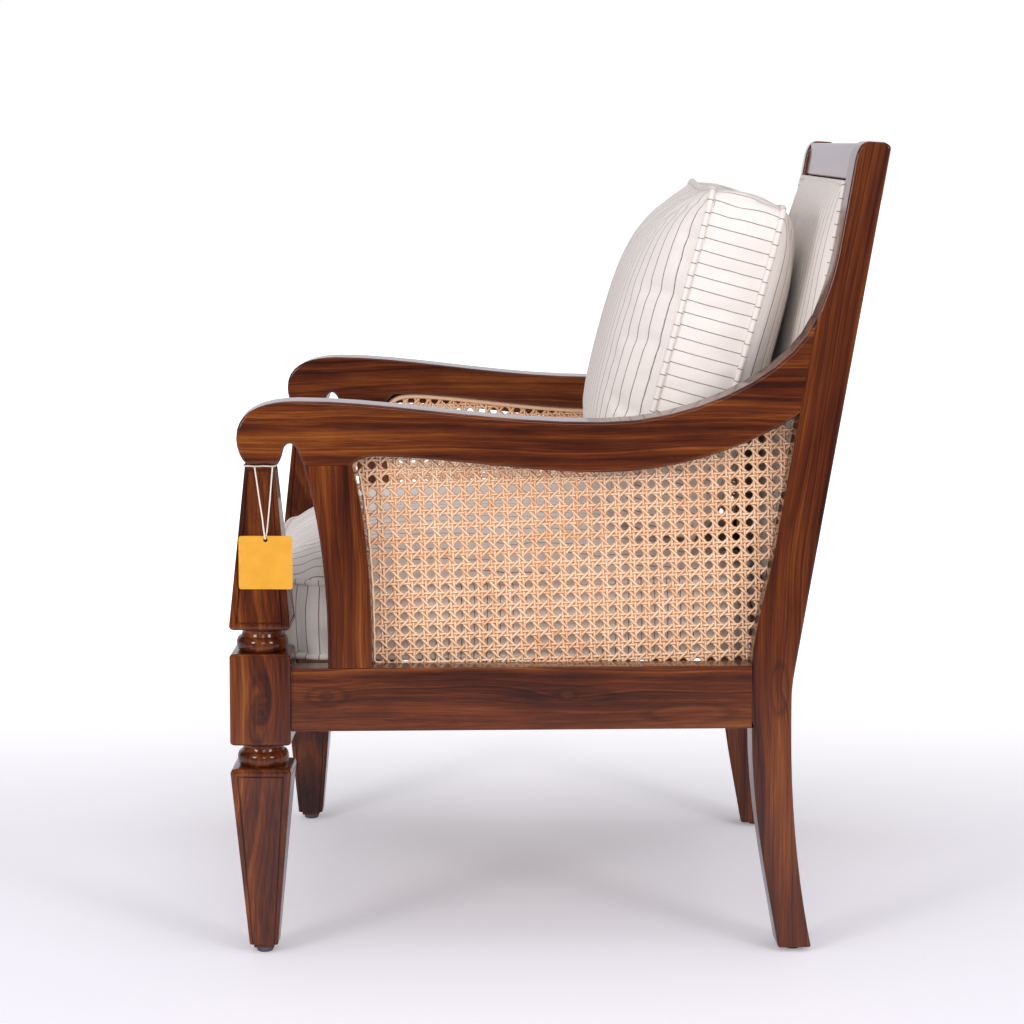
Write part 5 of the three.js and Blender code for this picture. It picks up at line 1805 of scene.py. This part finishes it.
@dataclass
class BoxCushion:
    """A loose cushion of two striped faces and a striped border, with welted seams and stitched lines."""

    shop: Workshop
    body: str
    table: Table
    half_width: float
    half_length: float
    border: float
    crown_over: float
    crown_under: float
    over_shape: tuple[float, float]
    under_shape: tuple[float, float]
    pull: float
    fill: float = 0.75
    roundness: float = 14.0
    points: int = 65
    border_steps: int = 7
    bulge: float = 0.004
    welt: float = 0.0041
    welt_place: tuple[float, float] = (0.0008, 0.0016)
    welt_wave: float = 0.05
    thread: float = 0.0005
    thread_place: tuple[float, float] = (0.0062, 0.0006)

    def build(self) -> None:
        """Makes the cushion, its welts and its stitches."""
        shell, ring = self.shell()
        piece = shell.piece(self.body + "_cover", merge=False)
        count = self.points**2
        held = np.zeros(shell.count)
        held[ring] = 1.0
        held[count:2 * count] = 1.0
        Billow().blow(piece, held)
        points = np.zeros(shell.count * 3)
        piece.data.vertices.foreach_get("co", points)
        points = points.reshape(-1, 3)
        subdivide(piece)
        self.shop.fit(piece, self.shop.cloth, self.body, "fabric", self.body)
        seams = [(points[ring], 1.0), (points[ring + count], -1.0)]
        angles = around(12)
        cord = circle(angles, self.welt, 0.88 * self.welt)
        turns = np.append(angles, TURN) * self.welt
        self.trim("welts", self.shop.cloth, seams, cord, turns, self.welt_place, self.welt_wave)
        thread = self.thread * circle(around(6), 1.0, 1.0)
        turns = np.linspace(0, 1, 7)
        self.trim("stitches", self.shop.stitch, seams, thread, turns, self.thread_place, 0.0)

    def width(self, along: np.ndarray) -> np.ndarray:
        """Half the width at each share of the length, from -1 to 1."""
        return np.full_like(along, self.half_width)

    def plan(self, a: np.ndarray, b: np.ndarray) -> tuple[np.ndarray, np.ndarray]:
        """Turns places in a square into places on the cushion's plan.

        Each place is drawn in by max(|a|, |b|) / (|a|^n + |b|^n)^(1/n), which rounds the corners, and the
        sides are pulled in by the pull times 1 - t^2, with t the place along that side.

        Args:
            a: Places across, from -1 to 1.
            b: Places along, from -1 to 1.

        Returns:
            Lengths across and along, in metres.
        """
        most = np.maximum(np.abs(a), np.abs(b))
        norm = (np.abs(a) ** self.roundness + np.abs(b) ** self.roundness) ** (1 / self.roundness)
        draw = np.where(norm > 0, most / np.maximum(norm, 1e-9), 1.0)
        across = a * draw * (self.width(b) - self.pull * (1 - b * b))
        along = b * draw * (self.half_length - self.pull * (1 - a * a))
        return across, along

    @staticmethod
    def puff(a: np.ndarray, b: np.ndarray, crown: float, shape: tuple[float, float]) -> np.ndarray:
        """How far a face stands up: the crown times (1 - |a|^p)^q times (1 - |b|^p)^q."""
        rise_a, rise_b = (np.maximum(1 - np.abs(part) ** shape[0], 0) ** shape[1] for part in (a, b))
        return crown * rise_a * rise_b

    def tuck(self, points: np.ndarray) -> np.ndarray:
        """A chance to pull some points about before the cloth is blown up."""
        return points

    def shell(self) -> tuple[Skin, np.ndarray]:
        """The closed shell: both faces and the border, with seams shared.

        Returns:
            The skin, and the point numbers of the rim in the upper face.
        """
        a, b = np.meshgrid(pillow_steps(self.points), pillow_steps(self.points))
        lay = np.stack(self.plan(a, b), axis=-1)
        over = self.border / 2 + self.puff(a, b, self.crown_over, self.over_shape)
        under = -self.border / 2 - self.puff(a, b, self.crown_under, self.under_shape)
        faces = [self.tuck(np.concatenate([lay, height[..., None]], axis=-1)) for height in (over, under)]
        skin = Skin()
        for face in faces:
            skin.grid(self.table.out(face), lay)
        ring = rim(*a.shape)
        top, bottom = (face.reshape(-1, 3)[ring] for face in faces)
        outward = np.pad(beside(directions(top[:, :2], closed=True)), ((0, 0), (0, 1)))
        shares = np.linspace(0, 1, self.border_steps + 1)
        middle = [
            top + (bottom - top) * share + outward * self.bulge * math.sin(math.pi * share)
            for share in shares[1:-1]
        ]
        inner = skin.add(self.table.out(np.concatenate(middle)), np.zeros((0, 4), dtype=int))
        rows = inner + np.arange(len(middle) * len(ring)).reshape(-1, len(ring))
        numbers = np.concatenate([ring, rows.ravel(), ring + a.size])
        length = lengths_along(top, closed=True)
        flat = unrolled(length, shares * self.border).swapaxes(0, 1).reshape(-1, 2)
        corners = quads(len(shares), len(ring), closed_columns=True)
        skin.join(numbers[corners], flat[quads(len(shares), len(length))])
        return skin, ring

    def trim(
        self,
        word: str,
        material: bpy.types.Material,
        seams: Sequence[tuple[np.ndarray, float]],
        section: np.ndarray,
        turns: np.ndarray,
        offset: tuple[float, float],
        unevenness: float,
    ) -> None:
        """A cord or a thread along each seam: a profile carried round a smooth even line beside it.

        Args:
            word: What it is.
            material: Its finish.
            seams: Each seam's points, and which way its face looks.
            section: The profile.
            turns: Where each of its points lies on the flat cloth, with the first again at the end.
            offset: How far it lies down the border, and out from it.
            unevenness: How much its thickness comes and goes.
        """
        skin = Skin()
        normal = self.table.outward
        for seam, way in seams:
            line = softened(evened(seam, 520, closed=True), 3)
            side = np.cross(directions(line, closed=True), normal)
            side /= np.linalg.norm(side, axis=1, keepdims=True)
            side *= np.sign(np.sum(side * (line - line.mean(axis=0)), axis=1).sum())
            lift = np.broadcast_to(normal, side.shape)
            line = line - way * offset[0] * lift + offset[1] * side
            wave = 1 + unevenness * np.sin(np.arange(len(line)) * 0.37)
            rings = tube(line, section[None] * wave[:, None, None], side, lift)
            skin.grid(rings, unrolled(lengths_along(line, closed=True), turns), True, True)
        piece = skin.piece(self.body + "_" + word, merge=False)
        self.shop.fit(piece, material, self.body, "fabric")


@dataclass
class SeatCushion(BoxCushion):
    """The seat cushion, narrower between the front legs."""

    front_width: float = 0.276
    wide: float = 0.2885
    back_width: float = 0.2649
    notch: float = -0.2935
    taper_length: float = 0.512

    def width(self, along: np.ndarray) -> np.ndarray:
        """Half the width at each share of the length: less between the legs, then tapering to the back.

        Args:
            along: Shares of the length, from -1 to 1.

        Returns:
            Half the width at each.
        """
        x = self.table.middle[0] + along * self.half_length
        full = self.wide + (self.back_width - self.wide) * (x - self.notch) / self.taper_length
        widen = smooth_step(x, self.notch - 0.006, self.notch + 0.012)
        return self.front_width + (full - self.front_width) * widen


@dataclass
class BackCushion(BoxCushion):
    """The back cushion, with its top corners pinched out, the far one more."""

    pinch: float = 0.012
    spread: float = 0.034

    def tuck(self, points: np.ndarray) -> np.ndarray:
        """Draws the top corners out and forwards, by a hill that falls off with the distance from each.

        Args:
            points: Places across, along and off the plane.

        Returns:
            The drawn places.
        """
        for corner, much in ((-1.0, 1.0), (1.0, 0.35)):
            target = np.array([corner * self.half_width, self.half_length])
            away = np.linalg.norm(points[..., :2] - target, axis=-1)
            hill = self.pinch * much * np.exp(-((away / self.spread) ** 2))
            points = points + hill[..., None] * np.array([corner * 0.45, 0.55, 0.25])
        return points


@dataclass
class BackUpholstery:
    """The fixed back: a crowned striped pad, piping under the crest, and the striped cover behind."""

    shop: Workshop
    lean: float = math.radians(9.8)
    half_width: float = 0.2689
    half_height: float = 0.2402
    flat: float = 0.0174
    crown: float = 0.0287
    fill: float = 0.5
    roll: tuple[float, float] = (0.0038, 0.0042)
    cover_thickness: float = 0.004

    def build(self) -> None:
        """Makes the pad, its piping and the outside cover."""
        table = leaning(self.shop.node("back_pad"), self.lean)
        pad = self.pad(table)
        self.shop.fit(pad, self.shop.cloth, "chair_frame", "fabric", "back_pad")
        subdivide(pad)
        self.shop.fit(self.piping(table), self.shop.cloth, "chair_frame", "fabric")
        self.shop.fit(self.cover(), self.shop.cloth, "chair_frame", "fabric", "back_outside_cover")

    def pad(self, table: Table) -> bpy.types.Object:
        """The pad: a crowned front on a flat back, crown (1 - |a|^4)^0.5 (1 - |b|^4)^0.5 over its flat edge.

        Args:
            table: The plane of the board that it is fixed to.

        Returns:
            The pad.
        """
        a, b = np.meshgrid(pillow_steps(49), pillow_steps(45))
        lay = np.stack([a * self.half_width, b * self.half_height], axis=-1)
        rise = np.sqrt(np.maximum(1 - a**4, 0)) * np.sqrt(np.maximum(1 - b**4, 0))
        dimples = 0.0009 * np.sin(a * 17 + 3 * b) * np.sin(b * 11 - 2 * a) * rise
        front = np.concatenate([lay, (self.flat + self.crown * rise + dimples)[..., None]], axis=-1)
        skin = Skin()
        skin.grid(table.out(front), lay)
        skin.grid(table.out(front * [1, 1, 0]), lay)
        edge = front.reshape(-1, 3)[rim(*a.shape)]
        side = np.stack([edge * [1, 1, share] for share in (1, 0.5, 0)])
        flat = unrolled(lengths_along(edge, closed=True), np.linspace(0, self.flat, 3)).swapaxes(0, 1)
        skin.grid(table.out(side), flat, closed_columns=True)
        return skin.piece("back_pad_cover")

    def piping(self, table: Table) -> bpy.types.Object:
        """A roll of the same cloth round the pad's edge: an ellipse carried along its top and down its sides.

        Args:
            table: The plane of the board.

        Returns:
            The roll.
        """
        width, height = self.half_width - 0.0045, self.half_height - 0.0042
        corners = np.array([(-width, -height), (width, -height), (width, height), (-width, height)])
        line = softened(evened(corners, 480, closed=True), 6)
        path = np.pad(line, ((0, 0), (0, 1)), constant_values=self.flat + 0.0035)
        side = np.pad(beside(directions(path, closed=True)), ((0, 0), (0, 1)))
        lift = np.broadcast_to([0.0, 0.0, 1.0], side.shape)
        angles = around(12)
        lay = unrolled(lengths_along(path, closed=True), np.append(angles, TURN) * 0.004)
        skin = Skin()
        skin.grid(table.out(tube(path, circle(angles, *self.roll), side, lift)), lay, True, True)
        return skin.piece("back_pad_piping")

    def cover(self) -> bpy.types.Object:
        """The cover behind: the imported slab's size, striped, with its edge rounded over.

        Returns:
            The cover.
        """
        low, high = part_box("back_outside_cover")
        inset = self.cover_thickness / 2
        table = leaning(self.shop.node("back_outside_cover"), self.lean, inset)
        half = np.array([high[1], (high[2] - low[2]) / math.cos(self.lean) / 2 - 0.0006]) - inset
        a, b = np.meshgrid(np.linspace(-1, 1, 33), np.linspace(-1, 1, 33))
        flat = np.stack([a, b], axis=-1) * half
        sag = 0.0006 * (1 - a**2) * (1 - b**2)
        skin = Skin()
        for way in (1.0, -1.0):
            skin.grid(table.out(np.concatenate([flat, (way * inset + sag)[..., None]], axis=-1)), flat)
        edge = flat.reshape(-1, 2)[rim(*a.shape)]
        reach = np.sign(edge) * (np.abs(edge) >= half - 1e-9) * inset
        turns = np.linspace(-math.pi / 2, math.pi / 2, 7)
        rows = [
            np.pad(edge + reach * math.cos(turn), ((0, 0), (0, 1)), constant_values=inset * math.sin(turn))
            for turn in turns
        ]
        lay = unrolled(lengths_along(edge, closed=True), turns * inset).swapaxes(0, 1)
        skin.grid(table.out(np.stack(rows)), lay, closed_columns=True)
        return skin.piece("back_outside_panel")


# Tag


def rope(skin: Skin, path: np.ndarray, radius: float, closed: bool = False) -> None:
    """Lays three plies round a line as a twisted string: each is a thin tube on a helix about the line.

    Args:
        skin: Where to add it.
        path: The line.
        radius: The string's radius.
        closed: Whether it runs back to its start.
    """
    plies, lay_length, thin = 3, 0.0085, 0.52 * radius
    side = np.cross(directions(path, closed), [0.23, 0.41, 0.88])
    side /= np.linalg.norm(side, axis=1, keepdims=True)
    lift = np.cross(directions(path, closed), side)
    length = lengths_along(path, closed)
    turns = max(1, round(length[-1] / lay_length))
    angle = TURN * turns * length[:len(path)] / length[-1]
    section = thin * circle(around(7), 1.0, 1.0)
    lay = unrolled(length, np.linspace(0, 1, 8))
    for ply in range(plies):
        at = angle + ply * TURN / plies
        centre = path + (radius - thin) * (np.cos(at)[:, None] * side + np.sin(at)[:, None] * lift)
        skin.grid(tube(centre, section, side, lift), lay, closed, True, ends=not closed)


def curve_through(points: np.ndarray, steps: int) -> np.ndarray:
    """A smooth curve through points: between two, the cubic that leaves and arrives at the slope there.

    The slope at a point is half the way from the point before to the point after, shared by distance.

    Args:
        points: The points, n by 3.
        steps: How many points to give between two.

    Returns:
        The curve.
    """
    times = np.concatenate([[0], np.cumsum(np.sqrt(np.linalg.norm(np.diff(points, axis=0), axis=1)))])
    slopes = np.gradient(points, times, axis=0)
    share = np.linspace(0, 1, steps, endpoint=False)[:, None]
    square, cube = share**2, share**3
    parts = []
    for here, span in enumerate(np.diff(times)):
        parts.append(
            (2 * cube - 3 * square + 1) * points[here]
            + (cube - 2 * square + share) * span * slopes[here]
            + (3 * square - 2 * cube) * points[here + 1]
            + (cube - square) * span * slopes[here + 1]
        )
    return np.vstack([*parts, points[-1:]])


@dataclass
class HangTag:
    """A blank yellow card hung on a twisted string that is looped round the left front post."""

    shop: Workshop
    half: float = 0.0303
    thick: float = 0.0008
    hole: float = 0.0024
    hole_drop: float = 0.0046
    squareness: float = 26.0
    radius: float = 0.001
    strand_y: float = -0.02035
    front_y: float = -0.035965
    behind_y: float = -0.027965
    card_y: float = -0.031965
    loop_z: float = 0.563
    loop_half: float = 0.01805

    def build(self) -> None:
        """Makes the card, the string and the loop."""
        leg = np.array([self.shop.sides[0].start, -self.shop.leg_y, 0.0])
        self.shop.fit(self.card(), self.shop.card, "tag", "card", "hang_tag")
        loop = self.loop(leg)
        self.shop.fit(loop, self.shop.string, "chair_frame", "cotton", "tag_string_loop")
        path = self.path() + leg
        skin = Skin()
        rope(skin, path, self.radius)
        string = skin.piece("tag_string_rope", merge=False)
        self.shop.fit(string, self.shop.string, "tag", "cotton", "tag_string")

    def between(self, share: float, level: float) -> float:
        """A place on the way from the post's face to where the string passes the card."""
        return self.strand_y + share * (level - self.strand_y)

    def path(self) -> np.ndarray:
        """The string's line: down to the card, through its hole and back up.

        Returns:
            Its points from the leg's centre line.
        """
        front, behind = self.front_y, self.behind_y
        points = np.array([
            (-0.0054, self.strand_y, 0.563),
            (-0.0022, self.between(0.25, front), 0.544),
            (0.001, self.between(0.5, front), 0.524),
            (0.0042, self.between(0.75, front), 0.506),
            (0.0063, front, 0.4912),
            (0.007, front, 0.4862),
            (0.0072, -0.03479, 0.48337),
            (0.0076, self.card_y, 0.4822),
            (0.008, -0.02914, 0.48337),
            (0.0082, behind, 0.4862),
            (0.009, behind, 0.4912),
            (0.0104, self.between(0.75, behind), 0.506),
            (0.012, self.between(0.5, behind), 0.524),
            (0.0136, self.between(0.25, behind), 0.544),
            (0.015, self.strand_y, 0.563),
        ])
        return curve_through(points, 9)

    def loop(self, leg: np.ndarray) -> bpy.types.Object:
        """The loop round the post: a rounded square of string.

        Args:
            leg: The leg's centre line.

        Returns:
            The loop.
        """
        half = self.loop_half
        corners = np.array([(-half, -half), (half, -half), (half, half), (-half, half)])
        line = softened(evened(corners, 160, closed=True), 14)
        line *= half / np.abs(line).max()
        wave = self.loop_z + 0.0002 * np.sin(np.arange(len(line)) * 0.31)
        skin = Skin()
        rope(skin, np.concatenate([line, wave[:, None]], axis=1) + leg, self.radius, closed=True)
        return skin.piece("tag_loop_rope", merge=False)

    def card(self) -> bpy.types.Object:
        """The card: rings from its round hole out to its square edge, front and back, a little curled.

        Returns:
            The card.
        """
        low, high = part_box("hang_tag")
        centre_x, face_y, centre_z = ((first + last) / 2 for first, last in zip(low, high))
        hole = np.array([0.0, high[2] - self.hole_drop - centre_z])
        ring = circle(around(160), 1.0, 1.0)
        norm = (np.abs(ring) ** self.squareness).sum(axis=1, keepdims=True) ** (1 / self.squareness)
        square = ring / norm * self.half
        reach = square - hole
        inner = hole + circle(np.arctan2(reach[:, 1], reach[:, 0]), self.hole, self.hole)
        flat = inner + (square - inner) * np.linspace(0, 1, 14)[:, None, None] ** 1.5
        x, z = flat[..., 0], flat[..., 1]
        curl = 0.0012 * (x / self.half) ** 2 - 0.0008 * (z / self.half) ** 2 * (z < 0)
        front, rear = (
            np.stack([centre_x + x, face_y - curl + way * self.thick / 2, centre_z + z], axis=-1)
            for way in (-1.0, 1.0)
        )
        skin = Skin()
        skin.grid(np.concatenate([front, rear[::-1]]), None, True, True)
        piece = skin.piece("tag_card")
        piece.data.set_sharp_from_angle(angle=math.radians(40))
        return piece


# Picture


@dataclass
class Studio:
    """A pale floor with no end, soft lights from the front corners and above, an open sky and the camera."""

    place: Place = (-0.0128, -3.4323, 0.9278)
    down: float = math.radians(5.539)
    swing: float = math.radians(-0.733)
    lens: float = 97.57
    shift: float = -0.1
    target: Place = (0.0, 0.0, 0.45)
    floor_reach: float = 40.0

    def build(self) -> None:
        """Sets the floor, lights, sky and camera."""
        bpy.context.scene.view_settings.view_transform = "Standard"
        self.floor()
        self.lamp("key_left", (-2.3, -2.9, 1.5), 0.9, 33.0, (1.0, 0.985, 0.97))
        self.lamp("key_right", (2.3, -2.9, 1.5), 0.9, 31.0, (1.0, 0.985, 0.98))
        self.lamp("front", (0.2, -3.8, 1.4), 0.9, 10.0, (1.0, 0.985, 0.97))
        self.lamp("overhead", (0.0, -0.3, 3.4), 2.6, 18.0, (0.98, 0.97, 1.0))
        self.sky()
        self.camera()

    def floor(self) -> None:
        """A wide disc whose colour pales with the distance from the chair, and which glossy rays see painted
        dark in front of the chair, a painted dark reflection.
        """
        radii = np.linspace(0, 1, 24) ** 2 * self.floor_reach
        flat = radii[:, None, None] * circle(around(96), 1.0, 1.0)
        skin = Skin()
        skin.grid(np.pad(flat, ((0, 0), (0, 0), (0, 1))), closed_columns=True)
        floor = skin.piece("floor")
        if floor.data.polygons[0].normal.z < 0:
            floor.data.flip_normals()
        recipe = new_recipe("pale_floor")
        place = recipe.place()
        _, y, _ = recipe.split(place)
        path = recipe.node("LightPath", {}).outputs
        tones = [(0.0, paint(238, 236, 242)), (0.5, paint(243, 241, 247)), (1.0, paint(255, 255, 255))]
        colour = recipe.ramp(recipe.remap(y, -1.4, 1.2), tones)
        # Painted reflection: glossy rays see the floor in front of the chair dark, so that the lacquer facing
        # the camera reflects dark.
        painted_dark_reflection = recipe.calc("MULTIPLY", recipe.remap(y, -2.4, -0.9, 0.95, 0.0), path["Is Glossy Ray"])
        beyond = recipe.calc("MAXIMUM", y, recipe.calc("SUBTRACT", recipe.vector("LENGTH", place), 1.25))
        rise = recipe.calc("POWER", recipe.remap(beyond, 0.2, 2.2), 1.3)
        glow = recipe.calc("MULTIPLY", recipe.remap(rise, 0.0, 1.0, 0.19, 0.92), path["Is Camera Ray"])
        floor.data.materials.append(recipe.surface({
            "Base Color": recipe.mix(painted_dark_reflection, colour, paint(40, 38, 42)),
            "Roughness": recipe.remap(recipe.noise(place, 900.0), 0.3, 0.7, 0.72, 0.78),
            "Emission Color": (1.0, 0.985, 1.0, 1.0),
            "Emission Strength": glow,
        }))
        floor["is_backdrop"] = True

    def lamp(
        self,
        name: str,
        place: Place,
        size: float,
        power: float,
        colour: tuple[float, float, float],
    ) -> None:
        """A square soft light that looks at the chair's middle.

        Args:
            name: Its name.
            place: Where it stands.
            size: Its side.
            power: Its power in watts.
            colour: Its colour.
        """
        data = bpy.data.lights.new(name, "AREA")
        data.shape = "SQUARE"
        data.size = size
        data.energy = power
        data.color = colour
        lamp = link(name, data)
        lamp.visible_camera = False
        self.aim(lamp, place, Vector(self.target) - Vector(place))

    @staticmethod
    def aim(thing: bpy.types.Object, place: Place, forward: Vector) -> None:
        """Stands a lamp or the camera at a place and turns it forward.

        Args:
            thing: The lamp or the camera.
            place: Where it stands.
            forward: The way it looks.
        """
        thing.location = place
        thing.rotation_mode = "QUATERNION"
        thing.rotation_quaternion = forward.to_track_quat("-Z", "Y")

    def sky(self) -> None:
        """A white sky for the camera, a softer one for the light, and a studio in the reflections."""
        world = bpy.data.worlds.new("studio")
        bpy.context.scene.world = world
        recipe = Recipe(world)
        path = recipe.node("LightPath", {}).outputs
        _, y, z = recipe.split(recipe.node("TexCoord", {}).outputs["Generated"])
        reflected = recipe.remap(y, 0.5, 0.92, 0.03, 0.88)
        ambient = recipe.remap(recipe.weighed((z, 0.6), start=y), -0.8, 1.0, 1.15, 0.28)
        unseen = recipe.remap(path["Is Glossy Ray"], 0.0, 1.0, ambient, reflected)
        seen = path["Is Camera Ray"]
        back = recipe.node("Background", {
            "Color": recipe.mix(seen, (0.955, 0.935, 1.0, 1.0), (1.0, 1.0, 1.0, 1.0)),
            "Strength": recipe.remap(seen, 0.0, 1.0, unseen, 1.0),
        })
        recipe.node("OutputWorld", {"Surface": back.outputs[0]})

    def camera(self) -> None:
        """The camera, level, looking a little down and drawn from the photograph's perspective."""
        data = bpy.data.cameras.new("camera")
        data.lens = self.lens
        data.sensor_width = 36.0
        data.shift_y = self.shift
        data.clip_start = 0.05
        data.clip_end = 200.0
        camera = link("camera", data)
        level = math.cos(self.down)
        forward = Vector((math.sin(self.swing) * level, math.cos(self.swing) * level, -math.sin(self.down)))
        self.aim(camera, self.place, forward)
        bpy.context.scene.camera = camera


def main() -> None:
    """Builds the chair and its picture."""
    logging.basicConfig(level=logging.INFO, format="%(message)s")
    shop = Workshop()
    Joinery(shop).build()
    for side in shop.sides:
        FrontLeg(shop, side).build()
        CaneSide(shop, side).build()
    BackUpholstery(shop).build()
    low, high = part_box("seat_cushion")
    SeatCushion(
        shop=shop,
        body="seat_cushion",
        table=Table(((low[0] + high[0]) / 2, 0.0, low[2] + 0.045), (0.0, -1.0, 0.0), (1.0, 0.0, 0.0)),
        half_width=0.2885,
        half_length=(high[0] - low[0]) / 2 - 0.0002,
        border=0.088,
        crown_over=0.057,
        crown_under=0.0,
        over_shape=(2.6, 0.62),
        under_shape=(2.0, 1.0),
        pull=0.003,
    ).build()
    BackCushion(
        shop=shop,
        body="back_cushion",
        table=leaning(shop.node("back_cushion"), math.radians(15.2), 0.045 + 0.043),
        half_width=0.2495,
        half_length=0.201,
        border=0.086,
        crown_over=0.062,
        crown_under=0.043,
        over_shape=(3.2, 0.6),
        under_shape=(4.0, 0.5),
        pull=0.006,
    ).build()
    HangTag(shop).build()
    Studio().build()
    low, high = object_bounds()
    log.info("The visual model's box is %s to %s", tuple(low), tuple(high))


if __name__ == "__main__":
    main()
